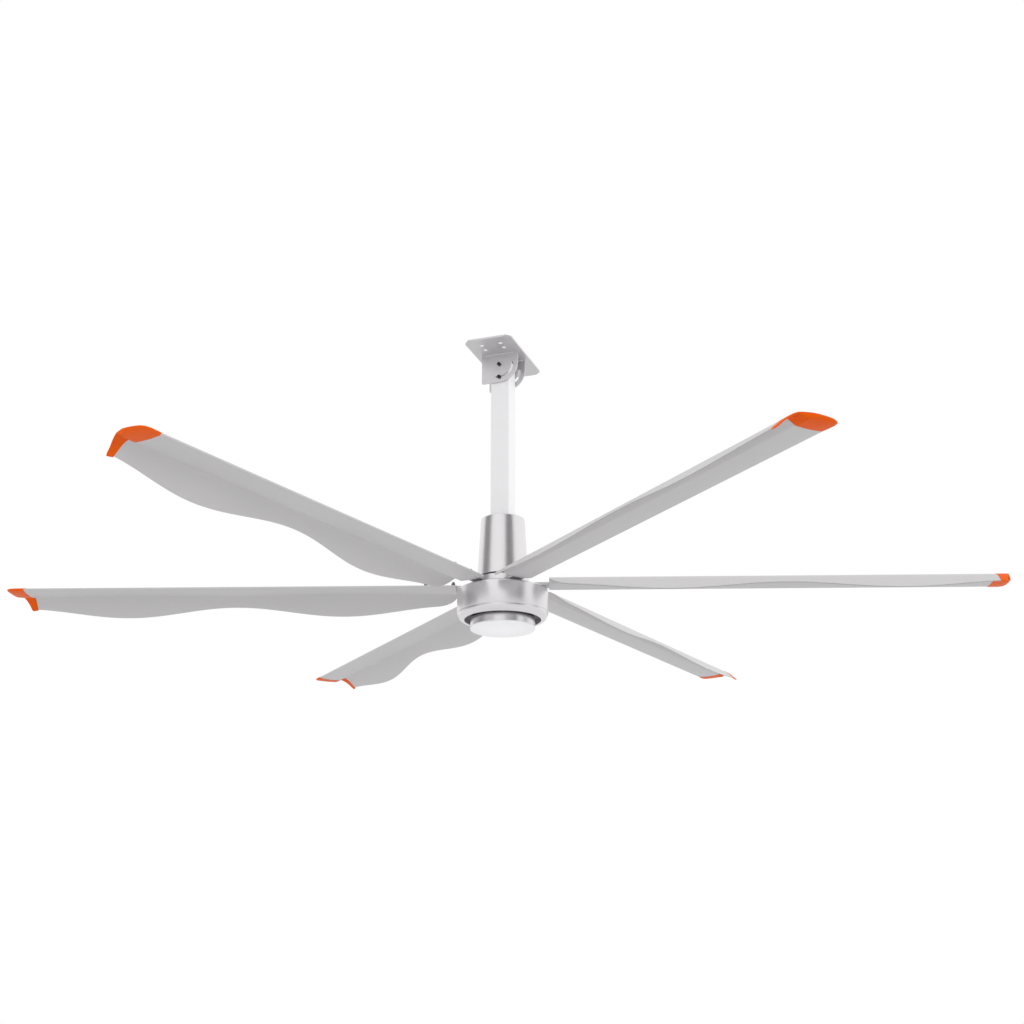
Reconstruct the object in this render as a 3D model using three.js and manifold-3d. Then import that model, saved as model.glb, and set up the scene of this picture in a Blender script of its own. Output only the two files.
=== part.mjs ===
// Six-blade, direct-drive industrial ceiling fan on a square down rod.
// Millimetres, +Z up. The origin is on the top face of the ceiling plate, above the pivot bolt.
// X runs along the two bracket ears and Y runs through them, along the pivot bolt.
import * as THREE from 'three';
import { mergeVertices } from 'three/addons/utils/BufferGeometryUtils.js';
import Module from 'manifold-3d';

const wasm = await Module();
wasm.setup();

// ---------- driving sizes ----------

const seat = 0.3; // gap between faces that bear on each other

// ceiling bracket
const plateThickness = 10;
const plateHalfWidth = 125;
const plateHalfLength = 250;
const plateChamfer = 28;
const anchorHoleRadius = 10;
const anchorSpacingX = 100;
const anchorSpacingY = 53;
const anchorCentreY = 153.5;
const pivotDrop = 58; // plate underside to pivot axis
const earThickness = 8;
const earLeft = 95;
const earRight = 100;
const earCorner = 98; // radius of the round lower corner, and drop of the lower edge
const earGap = 2; // side play between an ear and the rod
const slotRadius = 70; // pivot axis to swing bolt
const swingForward = 90; // degrees that the arc slot lets the rod swing
const swingBack = 10;

// bolts of the bracket
const boltRadius = 6;
const boltPlay = 0.6; // hole radius over bolt radius
const headRadius = 9;
const headHeight = 11;
const nutFlats = 18;
const nutHeight = 10;

// down rod
const rodSide = 100;
const rodWall = 5;
const rodCorner = 6;
const rodAbovePivot = 25;
const rodBelowPivot = 1082;
const flangeRadius = 95;
const flangeThickness = 12;
const flangeBoltCircle = 76;
const cableBore = 15;

// cover over the joint of rod and motor
const coverTopRadius = 109;
const coverBaseRadius = 125.3;
const coverHeight = 304;
const coverWall = 3;
const coverRim = 9; // radius of the rounded top edge
const coverOverhang = 31; // how far it hangs below the rod flange

// motor
const shaftRadius = 35;
const motorDrop = 96.2; // rod flange underside to top of the motor housing
const housingRadius = 223;
const housingEdge = 7;
const housingWall = 9;
const housingSide = 114.5; // height of the straight side, below the top
const beadDepth = 3; // step where the side ends
const shoulderHeight = 34;
const mouthRadius = housingRadius - 30; // outside of the lower rim
const rimWall = 6;
const endPlateDepth = 20; // end plate up inside the lower rim
const endPlateThickness = 8;
const bearingRadius = 55;
const bearingWidth = 22;
const bearingLip = 4;
const bossWall = 18;
const magnetThickness = 10;
const airGap = 2;
const coreHeight = 46;
const coilHeight = 13;
const coilInset = 14;

// drum under the motor
const drumRadius = mouthRadius - 34.5;
const drumWall = 4;
const drumHeight = 52;
const drumBelowRim = 47;
const drumCarrierThickness = 6;
const shaftNutHeight = 12;
const shaftNutFlats = 96;

// blades
const bladeCount = 6;
const bladePhase = 18; // degrees from X to the first blade, at rest
const ringRadius = housingRadius - 37; // raised seat of the blade arms
const ringThickness = 12.6;
const bladeRoot = housingRadius + 5; // spin axis to the root end
const bladeTip = 2363;
const leadOffset = 33; // leading edge ahead of the radial line
const noseRadius = 5;
const crownAft = 90; // highest line of the top, behind the leading edge
const crownRise = 20;
const shoulderAft = 152; // where the top starts to bend down
const shoulderRise = 16;
const skirtAft = 207; // where the bend ends and the flat skirt starts
const skirtSlope = 0.942;
const skirtThickness = 3.4;
const bellyAft = 66; // lowest line of the underside, behind the leading edge
const bellyDepth = 9.5;
const heelAft = 128; // where the underside starts to rise to the skirt
const heelDepth = 7;
const heelEnd = 158;
const cellSkin = 3; // wall round the hollow cells
const chordMean = 252; // leading edge to the middle of the wave
const waveDepth = 21;
const waveLength = 1092;
const firstCrest = 807; // spin axis to the first widest point
const rootReliefLength = 105;
const rootReliefDepth = 52;
const waveSteps = 36;

// blade arms, that join the blades to the motor
const armStart = 74;
const armReach = 415;
const armAft = 60; // arm centre line behind the leading edge
const armWidth = 66;
const armThickness = 14;
const armDrop = 4; // arm underside below the leading edge
const armFit = 0.4;
const clampRadius = coverBaseRadius + 4; // ring on top of the arms, under the cover
const clampGap = 8; // open gap between that ring and the cover
const bladeBolts = [bladeRoot + 17, armReach - 35]; // spin axis to the bolts of each blade
const bladeBoltHead = 11;
const bladeBoltEnd = 7; // end of the thread that stands out of the nut

// tip caps
const capReach = 92;
const capPlug = 45;
const capSkin = 1.6; // cap stands proud of the blade section
// outline from above: share of the reach, then how far the front and the back edge
// lie behind the leading edge of the blade
const capPlan = [
  [0, 0, 235],
  [0.18, -2, 237],
  [0.33, -3, 236],
  [0.4, -3.5, 216],
  [0.5, -4, 196],
  [0.66, -3, 164],
  [0.79, 1, 135],
  [0.88, 9, 117],
  [0.95, 22, 102],
  [1, 42, 84],
];

// ---------- places worked out from the sizes ----------

const pivotZ = -plateThickness - pivotDrop;
const rodEnd = pivotZ - rodBelowPivot;
const shaftTop = rodEnd - flangeThickness - 2 * seat;
const coverBase = rodEnd - flangeThickness - coverOverhang;
const housingTop = shaftTop + seat - motorDrop;
const housingSideEnd = housingTop - housingSide;
const housingRim = housingSideEnd - shoulderHeight;
const endPlateZ = housingRim + endPlateDepth; // underside of the end plate
const ringTop = housingTop + seat + ringThickness;
const armBottom = ringTop + seat;
const leadZ = armBottom + armDrop; // height of the leading edges
const clampBottom = armBottom + armThickness + seat;
const clampTop = coverBase - clampGap;
const drumBottom = housingRim - drumBelowRim;
const drumTop = drumBottom + drumHeight;
const carrierTop = drumTop - 8;
const shaftEnd = carrierTop - drumCarrierThickness - shaftNutHeight - 4;
const boltHole = boltRadius + boltPlay;
const sectionEnd = chordMean + waveDepth + 8; // far edge of the skirt before the wave is cut

// ---------- finishes ----------

function finish(color, roughness, metalness) {
  return new THREE.MeshStandardMaterial({ color, roughness, metalness });
}

const brushedSilver = finish(0xc9c7ca, 0.32, 0.85);
const bladeGrey = finish(0xb4b1b3, 0.45, 0.6);
const tubeGrey = finish(0xe2e1e4, 0.5, 0.2);
const bracketSteel = finish(0x9d9b9e, 0.45, 0.7);
const darkSteel = finish(0x2b2a2c, 0.5, 0.7);
const orange = finish(0xe65c08, 0.4, 0.0);
const white = finish(0xf4f4f5, 0.5, 0.0);
const copper = finish(0xb4633a, 0.4, 0.8);
const laminated = finish(0x6d6c70, 0.5, 0.7);

// ---------- small tools ----------

function solidOf(geometry) {
  const bare = geometry.clone();
  bare.deleteAttribute('normal');
  bare.deleteAttribute('uv');
  const merged = mergeVertices(bare, 1e-4);
  return new wasm.Manifold(
    new wasm.Mesh({
      numProp: 3,
      vertProperties: new Float32Array(merged.attributes.position.array),
      triVerts: new Uint32Array(merged.index.array),
    }),
  );
}

function geometryOf(solid) {
  const mesh = solid.getMesh();
  const geometry = new THREE.BufferGeometry();
  geometry.setAttribute('position', new THREE.BufferAttribute(mesh.vertProperties, 3));
  geometry.setIndex(new THREE.BufferAttribute(mesh.triVerts, 1));
  geometry.computeVertexNormals();
  return geometry;
}

function piece(name, shape, material) {
  const geometry = shape.isBufferGeometry ? shape : geometryOf(shape);
  const mesh = new THREE.Mesh(geometry, material);
  mesh.name = name;
  return mesh;
}

// upright round bar from z = low to z = high
function bar(radius, low, high, sides = 24) {
  const geometry = new THREE.CylinderGeometry(radius, radius, high - low, sides);
  geometry.rotateX(Math.PI / 2);
  geometry.translate(0, 0, (high + low) / 2);
  return geometry;
}

// round bar along Y from y = near to y = far
function crossBar(radius, near, far, sides = 24) {
  const geometry = new THREE.CylinderGeometry(radius, radius, far - near, sides);
  geometry.translate(0, (near + far) / 2, 0);
  return geometry;
}

// upright prism of an outline in X and Y
function prism(shape, low, high, curveSegments = 8) {
  const geometry = new THREE.ExtrudeGeometry(shape, {
    depth: high - low,
    bevelEnabled: false,
    curveSegments,
  });
  geometry.translate(0, 0, low);
  return geometry;
}

// plate standing in the X and Z plane, from y = near to y = far
function uprightPlate(shape, near, far, curveSegments = 8) {
  const geometry = new THREE.ExtrudeGeometry(shape, {
    depth: far - near,
    bevelEnabled: false,
    curveSegments,
  });
  geometry.rotateX(Math.PI / 2);
  geometry.translate(0, far, 0);
  return geometry;
}

// revolved ring or disc: the profile lists radius and height, anticlockwise
function revolved(profile, sides = 48) {
  const points = profile.map(([radius, z]) => new THREE.Vector2(radius, z));
  if (profile[0][0] > 0) {
    points.push(points[0].clone());
  }
  const geometry = new THREE.LatheGeometry(points, sides);
  geometry.rotateX(Math.PI / 2);
  return geometry;
}

function arcPoints(centreR, centreZ, radius, fromDegrees, toDegrees, steps) {
  return Array.from({ length: steps + 1 }, (_, i) => {
    const angle = THREE.MathUtils.degToRad(
      THREE.MathUtils.lerp(fromDegrees, toDegrees, i / steps),
    );
    return [centreR + radius * Math.cos(angle), centreZ + radius * Math.sin(angle)];
  });
}

function hexagon(flats) {
  const shape = new THREE.Shape();
  const corner = flats / 2 / Math.cos(Math.PI / 6);
  for (let i = 0; i < 6; i += 1) {
    const angle = (i * Math.PI) / 3;
    const x = corner * Math.cos(angle);
    const y = corner * Math.sin(angle);
    if (i === 0) shape.moveTo(x, y);
    else shape.lineTo(x, y);
  }
  shape.closePath();
  return shape;
}

// ---------- ceiling bracket ----------

function plateOutline() {
  const shape = new THREE.Shape();
  const x = plateHalfWidth;
  const y = plateHalfLength;
  shape.moveTo(-x + plateChamfer, -y);
  shape.lineTo(x - plateChamfer, -y);
  shape.lineTo(x, -y + plateChamfer);
  shape.lineTo(x, y - plateChamfer);
  shape.lineTo(x - plateChamfer, y);
  shape.lineTo(-x + plateChamfer, y);
  shape.lineTo(-x, y - plateChamfer);
  shape.lineTo(-x, -y + plateChamfer);
  shape.closePath();
  for (const side of [-1, 1]) {
    for (const alongX of [-0.5, 0.5]) {
      for (const alongY of [-0.5, 0.5]) {
        const hole = new THREE.Path();
        const holeX = alongX * anchorSpacingX;
        const holeY = side * anchorCentreY + alongY * anchorSpacingY;
        hole.absarc(holeX, holeY, anchorHoleRadius, 0, 2 * Math.PI, true);
        shape.holes.push(hole);
      }
    }
  }
  return shape;
}

// X and Z outline of an ear, with the pivot hole and the arc slot of the swing bolt
function earOutline() {
  const shape = new THREE.Shape();
  const cornerX = earRight - earCorner;
  shape.moveTo(-earLeft, -plateThickness);
  shape.lineTo(-earLeft, pivotZ - earCorner);
  shape.lineTo(cornerX, pivotZ - earCorner);
  shape.absarc(cornerX, pivotZ, earCorner, -Math.PI / 2, 0, false);
  shape.lineTo(earRight, -plateThickness);
  shape.closePath();

  const pivot = new THREE.Path();
  pivot.absarc(0, pivotZ, boltHole, 0, 2 * Math.PI, true);
  shape.holes.push(pivot);

  const start = THREE.MathUtils.degToRad(-90 - swingBack);
  const end = THREE.MathUtils.degToRad(-90 + swingForward);
  const at = (angle) => [slotRadius * Math.cos(angle), pivotZ + slotRadius * Math.sin(angle)];
  const slot = new THREE.Path();
  slot.absarc(0, pivotZ, slotRadius + boltHole, start, end, false);
  slot.absarc(...at(end), boltHole, end, end + Math.PI, false);
  slot.absarc(0, pivotZ, slotRadius - boltHole, end, start, true);
  slot.absarc(...at(start), boltHole, start + Math.PI, start + 2 * Math.PI, false);
  slot.closePath();
  shape.holes.push(slot);
  return shape;
}

const earInner = rodSide / 2 + earGap;
const earOuter = earInner + earThickness;

function makeBracket() {
  let solid = solidOf(prism(plateOutline(), -plateThickness, 0, 8));
  for (const near of [-earOuter, earInner]) {
    const ear = uprightPlate(earOutline(), near, near + earThickness, 12);
    solid = solid.add(solidOf(ear));
  }
  return piece('ceiling_bracket', solid, bracketSteel);
}

// socket-head bolt along Y, its head on the front ear, with its axis at height z
function makeBracketBolt(name, z) {
  const tail = earOuter + nutHeight + 3 + seat;
  const front = -earOuter - seat;
  let solid = solidOf(crossBar(boltRadius, front - headHeight / 2, tail, 20));
  const socket = crossBar(boltRadius * 0.55, front - headHeight - 1, front - headHeight * 0.4, 6);
  solid = solid.add(solidOf(crossBar(headRadius, front - headHeight, front, 24)));
  solid = solid.subtract(solidOf(socket));
  const bolt = piece(name, solid, darkSteel);
  bolt.position.z = z;
  return bolt;
}

function makeBracketNut(name, z) {
  const shape = hexagon(nutFlats);
  const hole = new THREE.Path();
  hole.absarc(0, 0, boltRadius + seat, 0, 2 * Math.PI, true);
  shape.holes.push(hole);
  const nut = piece(name, uprightPlate(shape, 0, nutHeight, 12), darkSteel);
  nut.position.set(0, earOuter + seat, z);
  return nut;
}

// ---------- down rod ----------

function roundedSquare(side, corner, target) {
  const half = side / 2;
  const flat = half - corner;
  target.absarc(flat, flat, corner, 0, Math.PI / 2, false);
  target.absarc(-flat, flat, corner, Math.PI / 2, Math.PI, false);
  target.absarc(-flat, -flat, corner, Math.PI, 1.5 * Math.PI, false);
  target.absarc(flat, -flat, corner, 1.5 * Math.PI, 2 * Math.PI, false);
  target.closePath();
  return target;
}

function makeRod() {
  const shape = roundedSquare(rodSide, rodCorner, new THREE.Shape());
  const inner = Math.max(rodCorner - rodWall, 1);
  shape.holes.push(roundedSquare(rodSide - 2 * rodWall, inner, new THREE.Path()));
  let solid = solidOf(prism(shape, rodEnd, pivotZ + rodAbovePivot, 3));
  for (const z of [pivotZ, pivotZ - slotRadius]) {
    const drill = crossBar(boltHole, -rodSide, rodSide, 20);
    drill.translate(0, 0, z);
    solid = solid.subtract(solidOf(drill));
  }
  return piece('down_rod', solid, tubeGrey);
}

function flangeHoles(low, high, radius) {
  return Array.from({ length: 4 }, (_, i) => {
    const drill = bar(radius, low, high, 16);
    drill.translate(flangeBoltCircle, 0, 0);
    drill.rotateZ((i * Math.PI) / 2);
    return solidOf(drill);
  });
}

function makeRodFlange() {
  const top = rodEnd - seat;
  const bottom = top - flangeThickness;
  let solid = solidOf(bar(flangeRadius, bottom, top, 40));
  solid = solid.subtract(solidOf(bar(cableBore, bottom - 1, top + 1, 20)));
  for (const hole of flangeHoles(bottom - 1, top + 1, boltHole)) {
    solid = solid.subtract(hole);
  }
  return piece('rod_flange', solid, darkSteel);
}

function makeFlangeBolt(index) {
  const top = rodEnd - seat;
  const tip = shaftTop - flangeThickness + 2;
  let solid = solidOf(bar(boltRadius, tip, top + headHeight / 2, 16));
  solid = solid.add(solidOf(prism(hexagon(nutFlats), top + seat, top + seat + headHeight)));
  const bolt = piece(`flange_bolt_${index + 1}`, solid, darkSteel);
  const angle = (index * Math.PI) / 2;
  bolt.position.set(flangeBoltCircle * Math.cos(angle), flangeBoltCircle * Math.sin(angle), 0);
  return bolt;
}

function makeCover() {
  const top = coverBase + coverHeight;
  const rimZ = top - coverRim;
  const outer = arcPoints(coverTopRadius - coverRim, rimZ, coverRim, 0, 90, 5);
  const innerRim = Math.max(coverRim - coverWall, 1);
  const inner = arcPoints(coverTopRadius - coverRim, rimZ, innerRim, 90, 0, 3);
  const bore = rodSide / 4; // inner end of the top, cut away by the square hole
  const profile = [
    [coverBaseRadius, coverBase],
    ...outer,
    [bore, top],
    [bore, top - coverWall],
    ...inner,
    [coverBaseRadius - coverWall, coverBase],
  ];
  const hole = roundedSquare(rodSide + 2 * seat, rodCorner + seat, new THREE.Shape());
  let solid = solidOf(revolved(profile, 48));
  solid = solid.subtract(solidOf(prism(hole, top - 4 * coverWall, top + 1, 3)));
  return piece('cone_cover', solid, brushedSilver);
}

// ---------- motor, standing parts ----------

function makeShaft() {
  const flangeLow = shaftTop - flangeThickness;
  let solid = solidOf(bar(flangeRadius, flangeLow, shaftTop, 40));
  solid = solid.add(solidOf(bar(shaftRadius, shaftEnd, flangeLow + 1, 32)));
  solid = solid.subtract(solidOf(bar(cableBore, shaftEnd - 1, shaftTop + 1, 20)));
  for (const hole of flangeHoles(flangeLow - 1, shaftTop + 1, boltRadius + seat)) {
    solid = solid.subtract(hole);
  }
  return piece('motor_shaft', solid, darkSteel);
}

const magnetOuter = housingRadius - housingWall - seat;
const magnetInner = magnetOuter - magnetThickness;
const coreOuter = magnetInner - airGap;
const motorMiddle = (housingTop - housingWall + endPlateZ + endPlateThickness) / 2;
const coreTop = motorMiddle + coreHeight / 2;
const coreBottom = motorMiddle - coreHeight / 2;

function makeCore() {
  const profile = [
    [shaftRadius + seat, coreBottom],
    [coreOuter, coreBottom],
    [coreOuter, coreTop],
    [shaftRadius + seat, coreTop],
  ];
  return piece('stator_core', revolved(profile, 40), laminated);
}

// overhang of the windings, a rounded ring on one face of the core
function makeCoil(name, face, way) {
  const inner = shaftRadius + bossWall + bearingRadius;
  const outer = coreOuter - coilInset;
  const low = face + way * seat;
  const high = face + way * coilHeight;
  const round = coilHeight / 2;
  const profile = [
    [inner, low],
    [outer, low],
    [outer, high - way * round],
    [outer - round, high],
    [inner + round, high],
    [inner, high - way * round],
  ];
  if (way < 0) profile.reverse();
  return piece(name, revolved(profile, 40), copper);
}

function makeDrum() {
  const round = 5;
  const profile = [
    [0, drumBottom],
    ...arcPoints(drumRadius - round, drumBottom + round, round, -90, 0, 3),
    [drumRadius, drumTop],
    [drumRadius - drumWall, drumTop],
    [drumRadius - drumWall, drumBottom + drumWall + 2],
    [0, drumBottom + drumWall],
  ];
  return piece('bottom_drum', revolved(profile, 48), white);
}

function makeDrumCarrier() {
  const profile = [
    [shaftRadius + seat, carrierTop - drumCarrierThickness],
    [drumRadius - drumWall - seat, carrierTop - drumCarrierThickness],
    [drumRadius - drumWall - seat, carrierTop],
    [shaftRadius + seat, carrierTop],
  ];
  return piece('drum_carrier', revolved(profile, 48), darkSteel);
}

// nut that holds the carrier up on the shaft
function makeShaftNut() {
  const shape = hexagon(shaftNutFlats);
  const hole = new THREE.Path();
  hole.absarc(0, 0, shaftRadius + seat, 0, 2 * Math.PI, true);
  shape.holes.push(hole);
  const high = carrierTop - drumCarrierThickness - seat;
  return piece('shaft_nut', prism(shape, high - shaftNutHeight, high, 12), darkSteel);
}

// ---------- motor, turning parts ----------

function makeHousing() {
  const sideInner = housingRadius - housingWall;
  const beadRadius = housingRadius - beadDepth;
  const mouthInner = mouthRadius - rimWall;
  const bossOuter = bearingRadius + bossWall;
  const bossBottom = housingTop - bearingLip - bearingWidth;
  const top = arcPoints(housingRadius - housingEdge, housingTop - housingEdge, housingEdge, 0, 90, 4);
  const shoulder = Array.from({ length: 6 }, (_, i) => {
    const turn = ((i + 1) / 6) * (Math.PI / 2);
    return [
      mouthRadius + (beadRadius - mouthRadius) * Math.cos(turn),
      housingSideEnd - beadDepth - (shoulderHeight - beadDepth) * Math.sin(turn),
    ];
  });
  const profile = [
    [bearingRadius - bearingLip, housingTop],
    [bearingRadius - bearingLip, housingTop - bearingLip],
    [bearingRadius + seat, housingTop - bearingLip],
    [bearingRadius + seat, bossBottom],
    [bossOuter, bossBottom],
    [bossOuter, housingTop - housingWall],
    [sideInner, housingTop - housingWall],
    [sideInner, endPlateZ + endPlateThickness],
    [mouthInner, endPlateZ + endPlateThickness - 12],
    [mouthInner, housingRim],
    ...shoulder.reverse(),
    [beadRadius, housingSideEnd],
    [housingRadius, housingSideEnd],
    ...top,
  ];
  return piece('motor_housing', revolved(profile, 60), brushedSilver);
}

function makeEndPlate() {
  const bossOuter = bearingRadius + bossWall;
  const top = endPlateZ + endPlateThickness;
  const bearingTop = endPlateZ + bearingLip + bearingWidth;
  const rim = mouthRadius - rimWall - seat;
  const profile = [
    [bearingRadius - bearingLip, endPlateZ],
    [rim, endPlateZ],
    [rim, top - 4],
    [bossOuter, top],
    [bossOuter, bearingTop],
    [bearingRadius + seat, bearingTop],
    [bearingRadius + seat, endPlateZ + bearingLip],
    [bearingRadius - bearingLip, endPlateZ + bearingLip],
  ];
  return piece('motor_end_plate', revolved(profile, 60), darkSteel);
}

function makeBearing(name, low) {
  const groove = 3;
  const high = low + bearingWidth - seat;
  const bottom = low + seat;
  const mid = (shaftRadius + bearingRadius) / 2;
  const profile = [
    [shaftRadius + seat, bottom],
    [mid - groove, bottom],
    [mid, bottom + groove],
    [mid + groove, bottom],
    [bearingRadius, bottom],
    [bearingRadius, high],
    [mid + groove, high],
    [mid, high - groove],
    [mid - groove, high],
    [shaftRadius + seat, high],
  ];
  return piece(name, revolved(profile, 32), laminated);
}

function makeMagnets() {
  const profile = [
    [magnetInner, coreBottom],
    [magnetOuter, coreBottom],
    [magnetOuter, coreTop],
    [magnetInner, coreTop],
  ];
  return piece('magnet_ring', revolved(profile, 60), darkSteel);
}

function makeArmSeat() {
  const profile = [
    [bearingRadius - bearingLip, housingTop + seat],
    [ringRadius, housingTop + seat],
    [ringRadius, ringTop - 2],
    [ringRadius - 2, ringTop],
    [bearingRadius - bearingLip, ringTop],
  ];
  return piece('arm_seat_ring', revolved(profile, 48), darkSteel);
}

// ring that holds the arms down on their seat
function makeArmClamp() {
  const profile = [
    [bearingRadius - bearingLip, clampBottom],
    [clampRadius, clampBottom],
    [clampRadius, clampTop - 2],
    [clampRadius - 2, clampTop],
    [bearingRadius - bearingLip, clampTop],
  ];
  return piece('arm_clamp_ring', revolved(profile, 48), brushedSilver);
}

// ---------- blade section ----------

// height of the top of the blade over its leading edge, at a distance behind that edge
function bladeTop(aft) {
  if (aft <= crownAft) {
    const t = 1 - aft / crownAft;
    return crownRise - (crownRise - noseRadius) * t * t;
  }
  const fall = (crownRise - shoulderRise) / (shoulderAft - crownAft) ** 2;
  if (aft <= shoulderAft) {
    return crownRise - fall * (aft - crownAft) ** 2;
  }
  const slope = 2 * fall * (shoulderAft - crownAft);
  const bend = (skirtSlope - slope) / (skirtAft - shoulderAft);
  const into = Math.min(aft, skirtAft) - shoulderAft;
  const bent = shoulderRise - slope * into - (bend / 2) * into * into;
  return bent - skirtSlope * Math.max(aft - skirtAft, 0);
}

// height of the underside: a shallow belly, the heel of the hollow part, then the thin skirt
function bladeUnderside(aft) {
  if (aft <= bellyAft) {
    const t = 1 - aft / bellyAft;
    return -bellyDepth + (bellyDepth - noseRadius) * t * t;
  }
  if (aft <= heelAft) {
    const t = (aft - bellyAft) / (heelAft - bellyAft);
    return -bellyDepth + (bellyDepth - heelDepth) * t * t;
  }
  if (aft < heelEnd) {
    return THREE.MathUtils.mapLinear(aft, heelAft, heelEnd, -heelDepth, skirtUnderside(heelEnd));
  }
  return skirtUnderside(aft);
}

function skirtUnderside(aft) {
  const slope = bladeTop(aft + 0.5) - bladeTop(aft - 0.5);
  return bladeTop(aft) - skirtThickness * Math.hypot(1, slope);
}

// distance behind the leading edge of the wavy trailing edge
function waveAft(along) {
  const turn = (2 * Math.PI * (along - firstCrest)) / waveLength;
  const into = Math.max(0, rootReliefLength - (along - bladeRoot)) / rootReliefLength;
  const relief = rootReliefDepth * (1 - Math.sqrt(Math.max(0, 1 - into * into)));
  return chordMean + waveDepth * Math.cos(turn) - relief;
}

const arm = {
  middle: leadOffset - armAft, // centre line of an arm, beside the radial line
  low: -armDrop,
  high: armThickness - armDrop,
};

// outline of the blade section, y forward and z up, down to the far edge of the skirt
function sectionOutline(aftEnd) {
  const top = [0.06, 0.2, 0.4, 0.7, 1].map((t) => t * crownAft);
  const shoulder = [0.5, 1].map((t) => THREE.MathUtils.lerp(crownAft, shoulderAft, t));
  const bend = [0.25, 0.5, 0.75, 1].map((t) => THREE.MathUtils.lerp(shoulderAft, skirtAft, t));
  const belly = [0.08, 0.35, 0.7, 1].map((t) => t * bellyAft);
  const heel = [0.6, 1].map((t) => THREE.MathUtils.lerp(bellyAft, heelAft, t));
  const over = [...top, ...shoulder, ...bend, aftEnd];
  const under = [...belly, ...heel, heelEnd, ...bend.slice(1), aftEnd];
  const shape = new THREE.Shape();
  shape.moveTo(leadOffset + noseRadius * 0.5, 0);
  shape.lineTo(leadOffset + noseRadius * 0.3, bladeTop(0) * 0.72);
  for (const aft of over) {
    shape.lineTo(leadOffset - aft, bladeTop(aft));
  }
  for (const aft of under.reverse()) {
    shape.lineTo(leadOffset - aft, bladeUnderside(aft));
  }
  shape.lineTo(leadOffset + noseRadius * 0.3, bladeUnderside(0) * 0.72);
  shape.closePath();
  return shape;
}

function polygon(points, target) {
  points.forEach(([x, y], i) => {
    if (i === 0) target.moveTo(x, y);
    else target.lineTo(x, y);
  });
  target.closePath();
  return target;
}

// cell that takes the arm at the root and a tongue of the cap at the tip
function armCell(fit) {
  const half = armWidth / 2 + fit;
  return [
    [arm.middle + half, arm.low - fit],
    [arm.middle + half, arm.high + fit],
    [arm.middle - half, arm.high + fit],
    [arm.middle - half, arm.low - fit],
  ];
}

// cell behind the arm, over the heel
function heelCell(inset) {
  const skin = cellSkin + inset;
  const front = armAft + armWidth / 2 + armFit + skin + 1;
  const back = heelEnd - 4 * skin;
  return [
    [leadOffset - front, bladeUnderside(front) + skin],
    [leadOffset - front, bladeTop(front) - skin],
    [leadOffset - back, bladeTop(back) - skin],
    [leadOffset - back, bladeUnderside(back) + skin * 1.6],
    [leadOffset - heelAft + skin, -heelDepth + skin],
  ];
}

// turns an extrusion along local Z into one that runs outward along X, with y forward
const outward = new THREE.Matrix4().makeBasis(
  new THREE.Vector3(0, 1, 0),
  new THREE.Vector3(0, 0, 1),
  new THREE.Vector3(1, 0, 0),
);

function spanwise(shape, from, to) {
  const geometry = new THREE.ExtrudeGeometry(shape, { depth: to - from, bevelEnabled: false });
  geometry.translate(0, 0, from);
  geometry.applyMatrix4(outward);
  return geometry;
}

// everything behind the wavy trailing edge, as a block to cut with
function waveCutter() {
  const shape = new THREE.Shape();
  const beyond = leadOffset - sectionEnd - 20;
  const from = bladeRoot;
  const to = bladeTip + 5;
  shape.moveTo(to, beyond);
  for (let i = 0; i <= waveSteps; i += 1) {
    const along = THREE.MathUtils.lerp(to, from, i / waveSteps);
    shape.lineTo(along, leadOffset - waveAft(along));
  }
  shape.lineTo(from - 5, leadOffset - waveAft(from));
  shape.lineTo(from - 5, beyond);
  shape.closePath();
  return solidOf(prism(shape, bladeUnderside(sectionEnd) - 10, crownRise + 10));
}

function makeBladeSolid() {
  const shape = sectionOutline(sectionEnd);
  shape.holes.push(polygon(armCell(armFit), new THREE.Path()));
  shape.holes.push(polygon(heelCell(0), new THREE.Path()));
  let solid = solidOf(spanwise(shape, bladeRoot, bladeTip));
  solid = solid.subtract(waveCutter());
  for (const along of bladeBolts) {
    const drill = bar(boltHole, arm.high - 1, crownRise + 5, 16);
    drill.translate(along, arm.middle, 0);
    solid = solid.subtract(solidOf(drill));
  }
  return solid;
}

function makeArmSolid() {
  const shape = new THREE.Shape();
  const half = armWidth / 2;
  const chamfer = 8;
  shape.moveTo(armStart, arm.middle - half);
  shape.lineTo(armReach - chamfer, arm.middle - half);
  shape.lineTo(armReach, arm.middle - half + chamfer);
  shape.lineTo(armReach, arm.middle + half - chamfer);
  shape.lineTo(armReach - chamfer, arm.middle + half);
  shape.lineTo(armStart, arm.middle + half);
  shape.closePath();
  for (const along of bladeBolts) {
    const hole = new THREE.Path();
    hole.absarc(along, arm.middle, boltRadius + seat, 0, 2 * Math.PI, true);
    shape.holes.push(hole);
  }
  return prism(shape, arm.low, arm.high, 6);
}

function makeBladeBoltSolid() {
  const under = bladeTop(armAft + nutFlats / 2 / Math.cos(Math.PI / 6)) + seat;
  const shank = bar(boltRadius, arm.low + 2, under + bladeBoltHead + bladeBoltEnd, 12);
  const head = prism(hexagon(nutFlats), under, under + bladeBoltHead);
  return solidOf(shank).add(solidOf(head));
}

// ---------- tip cap ----------

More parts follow.
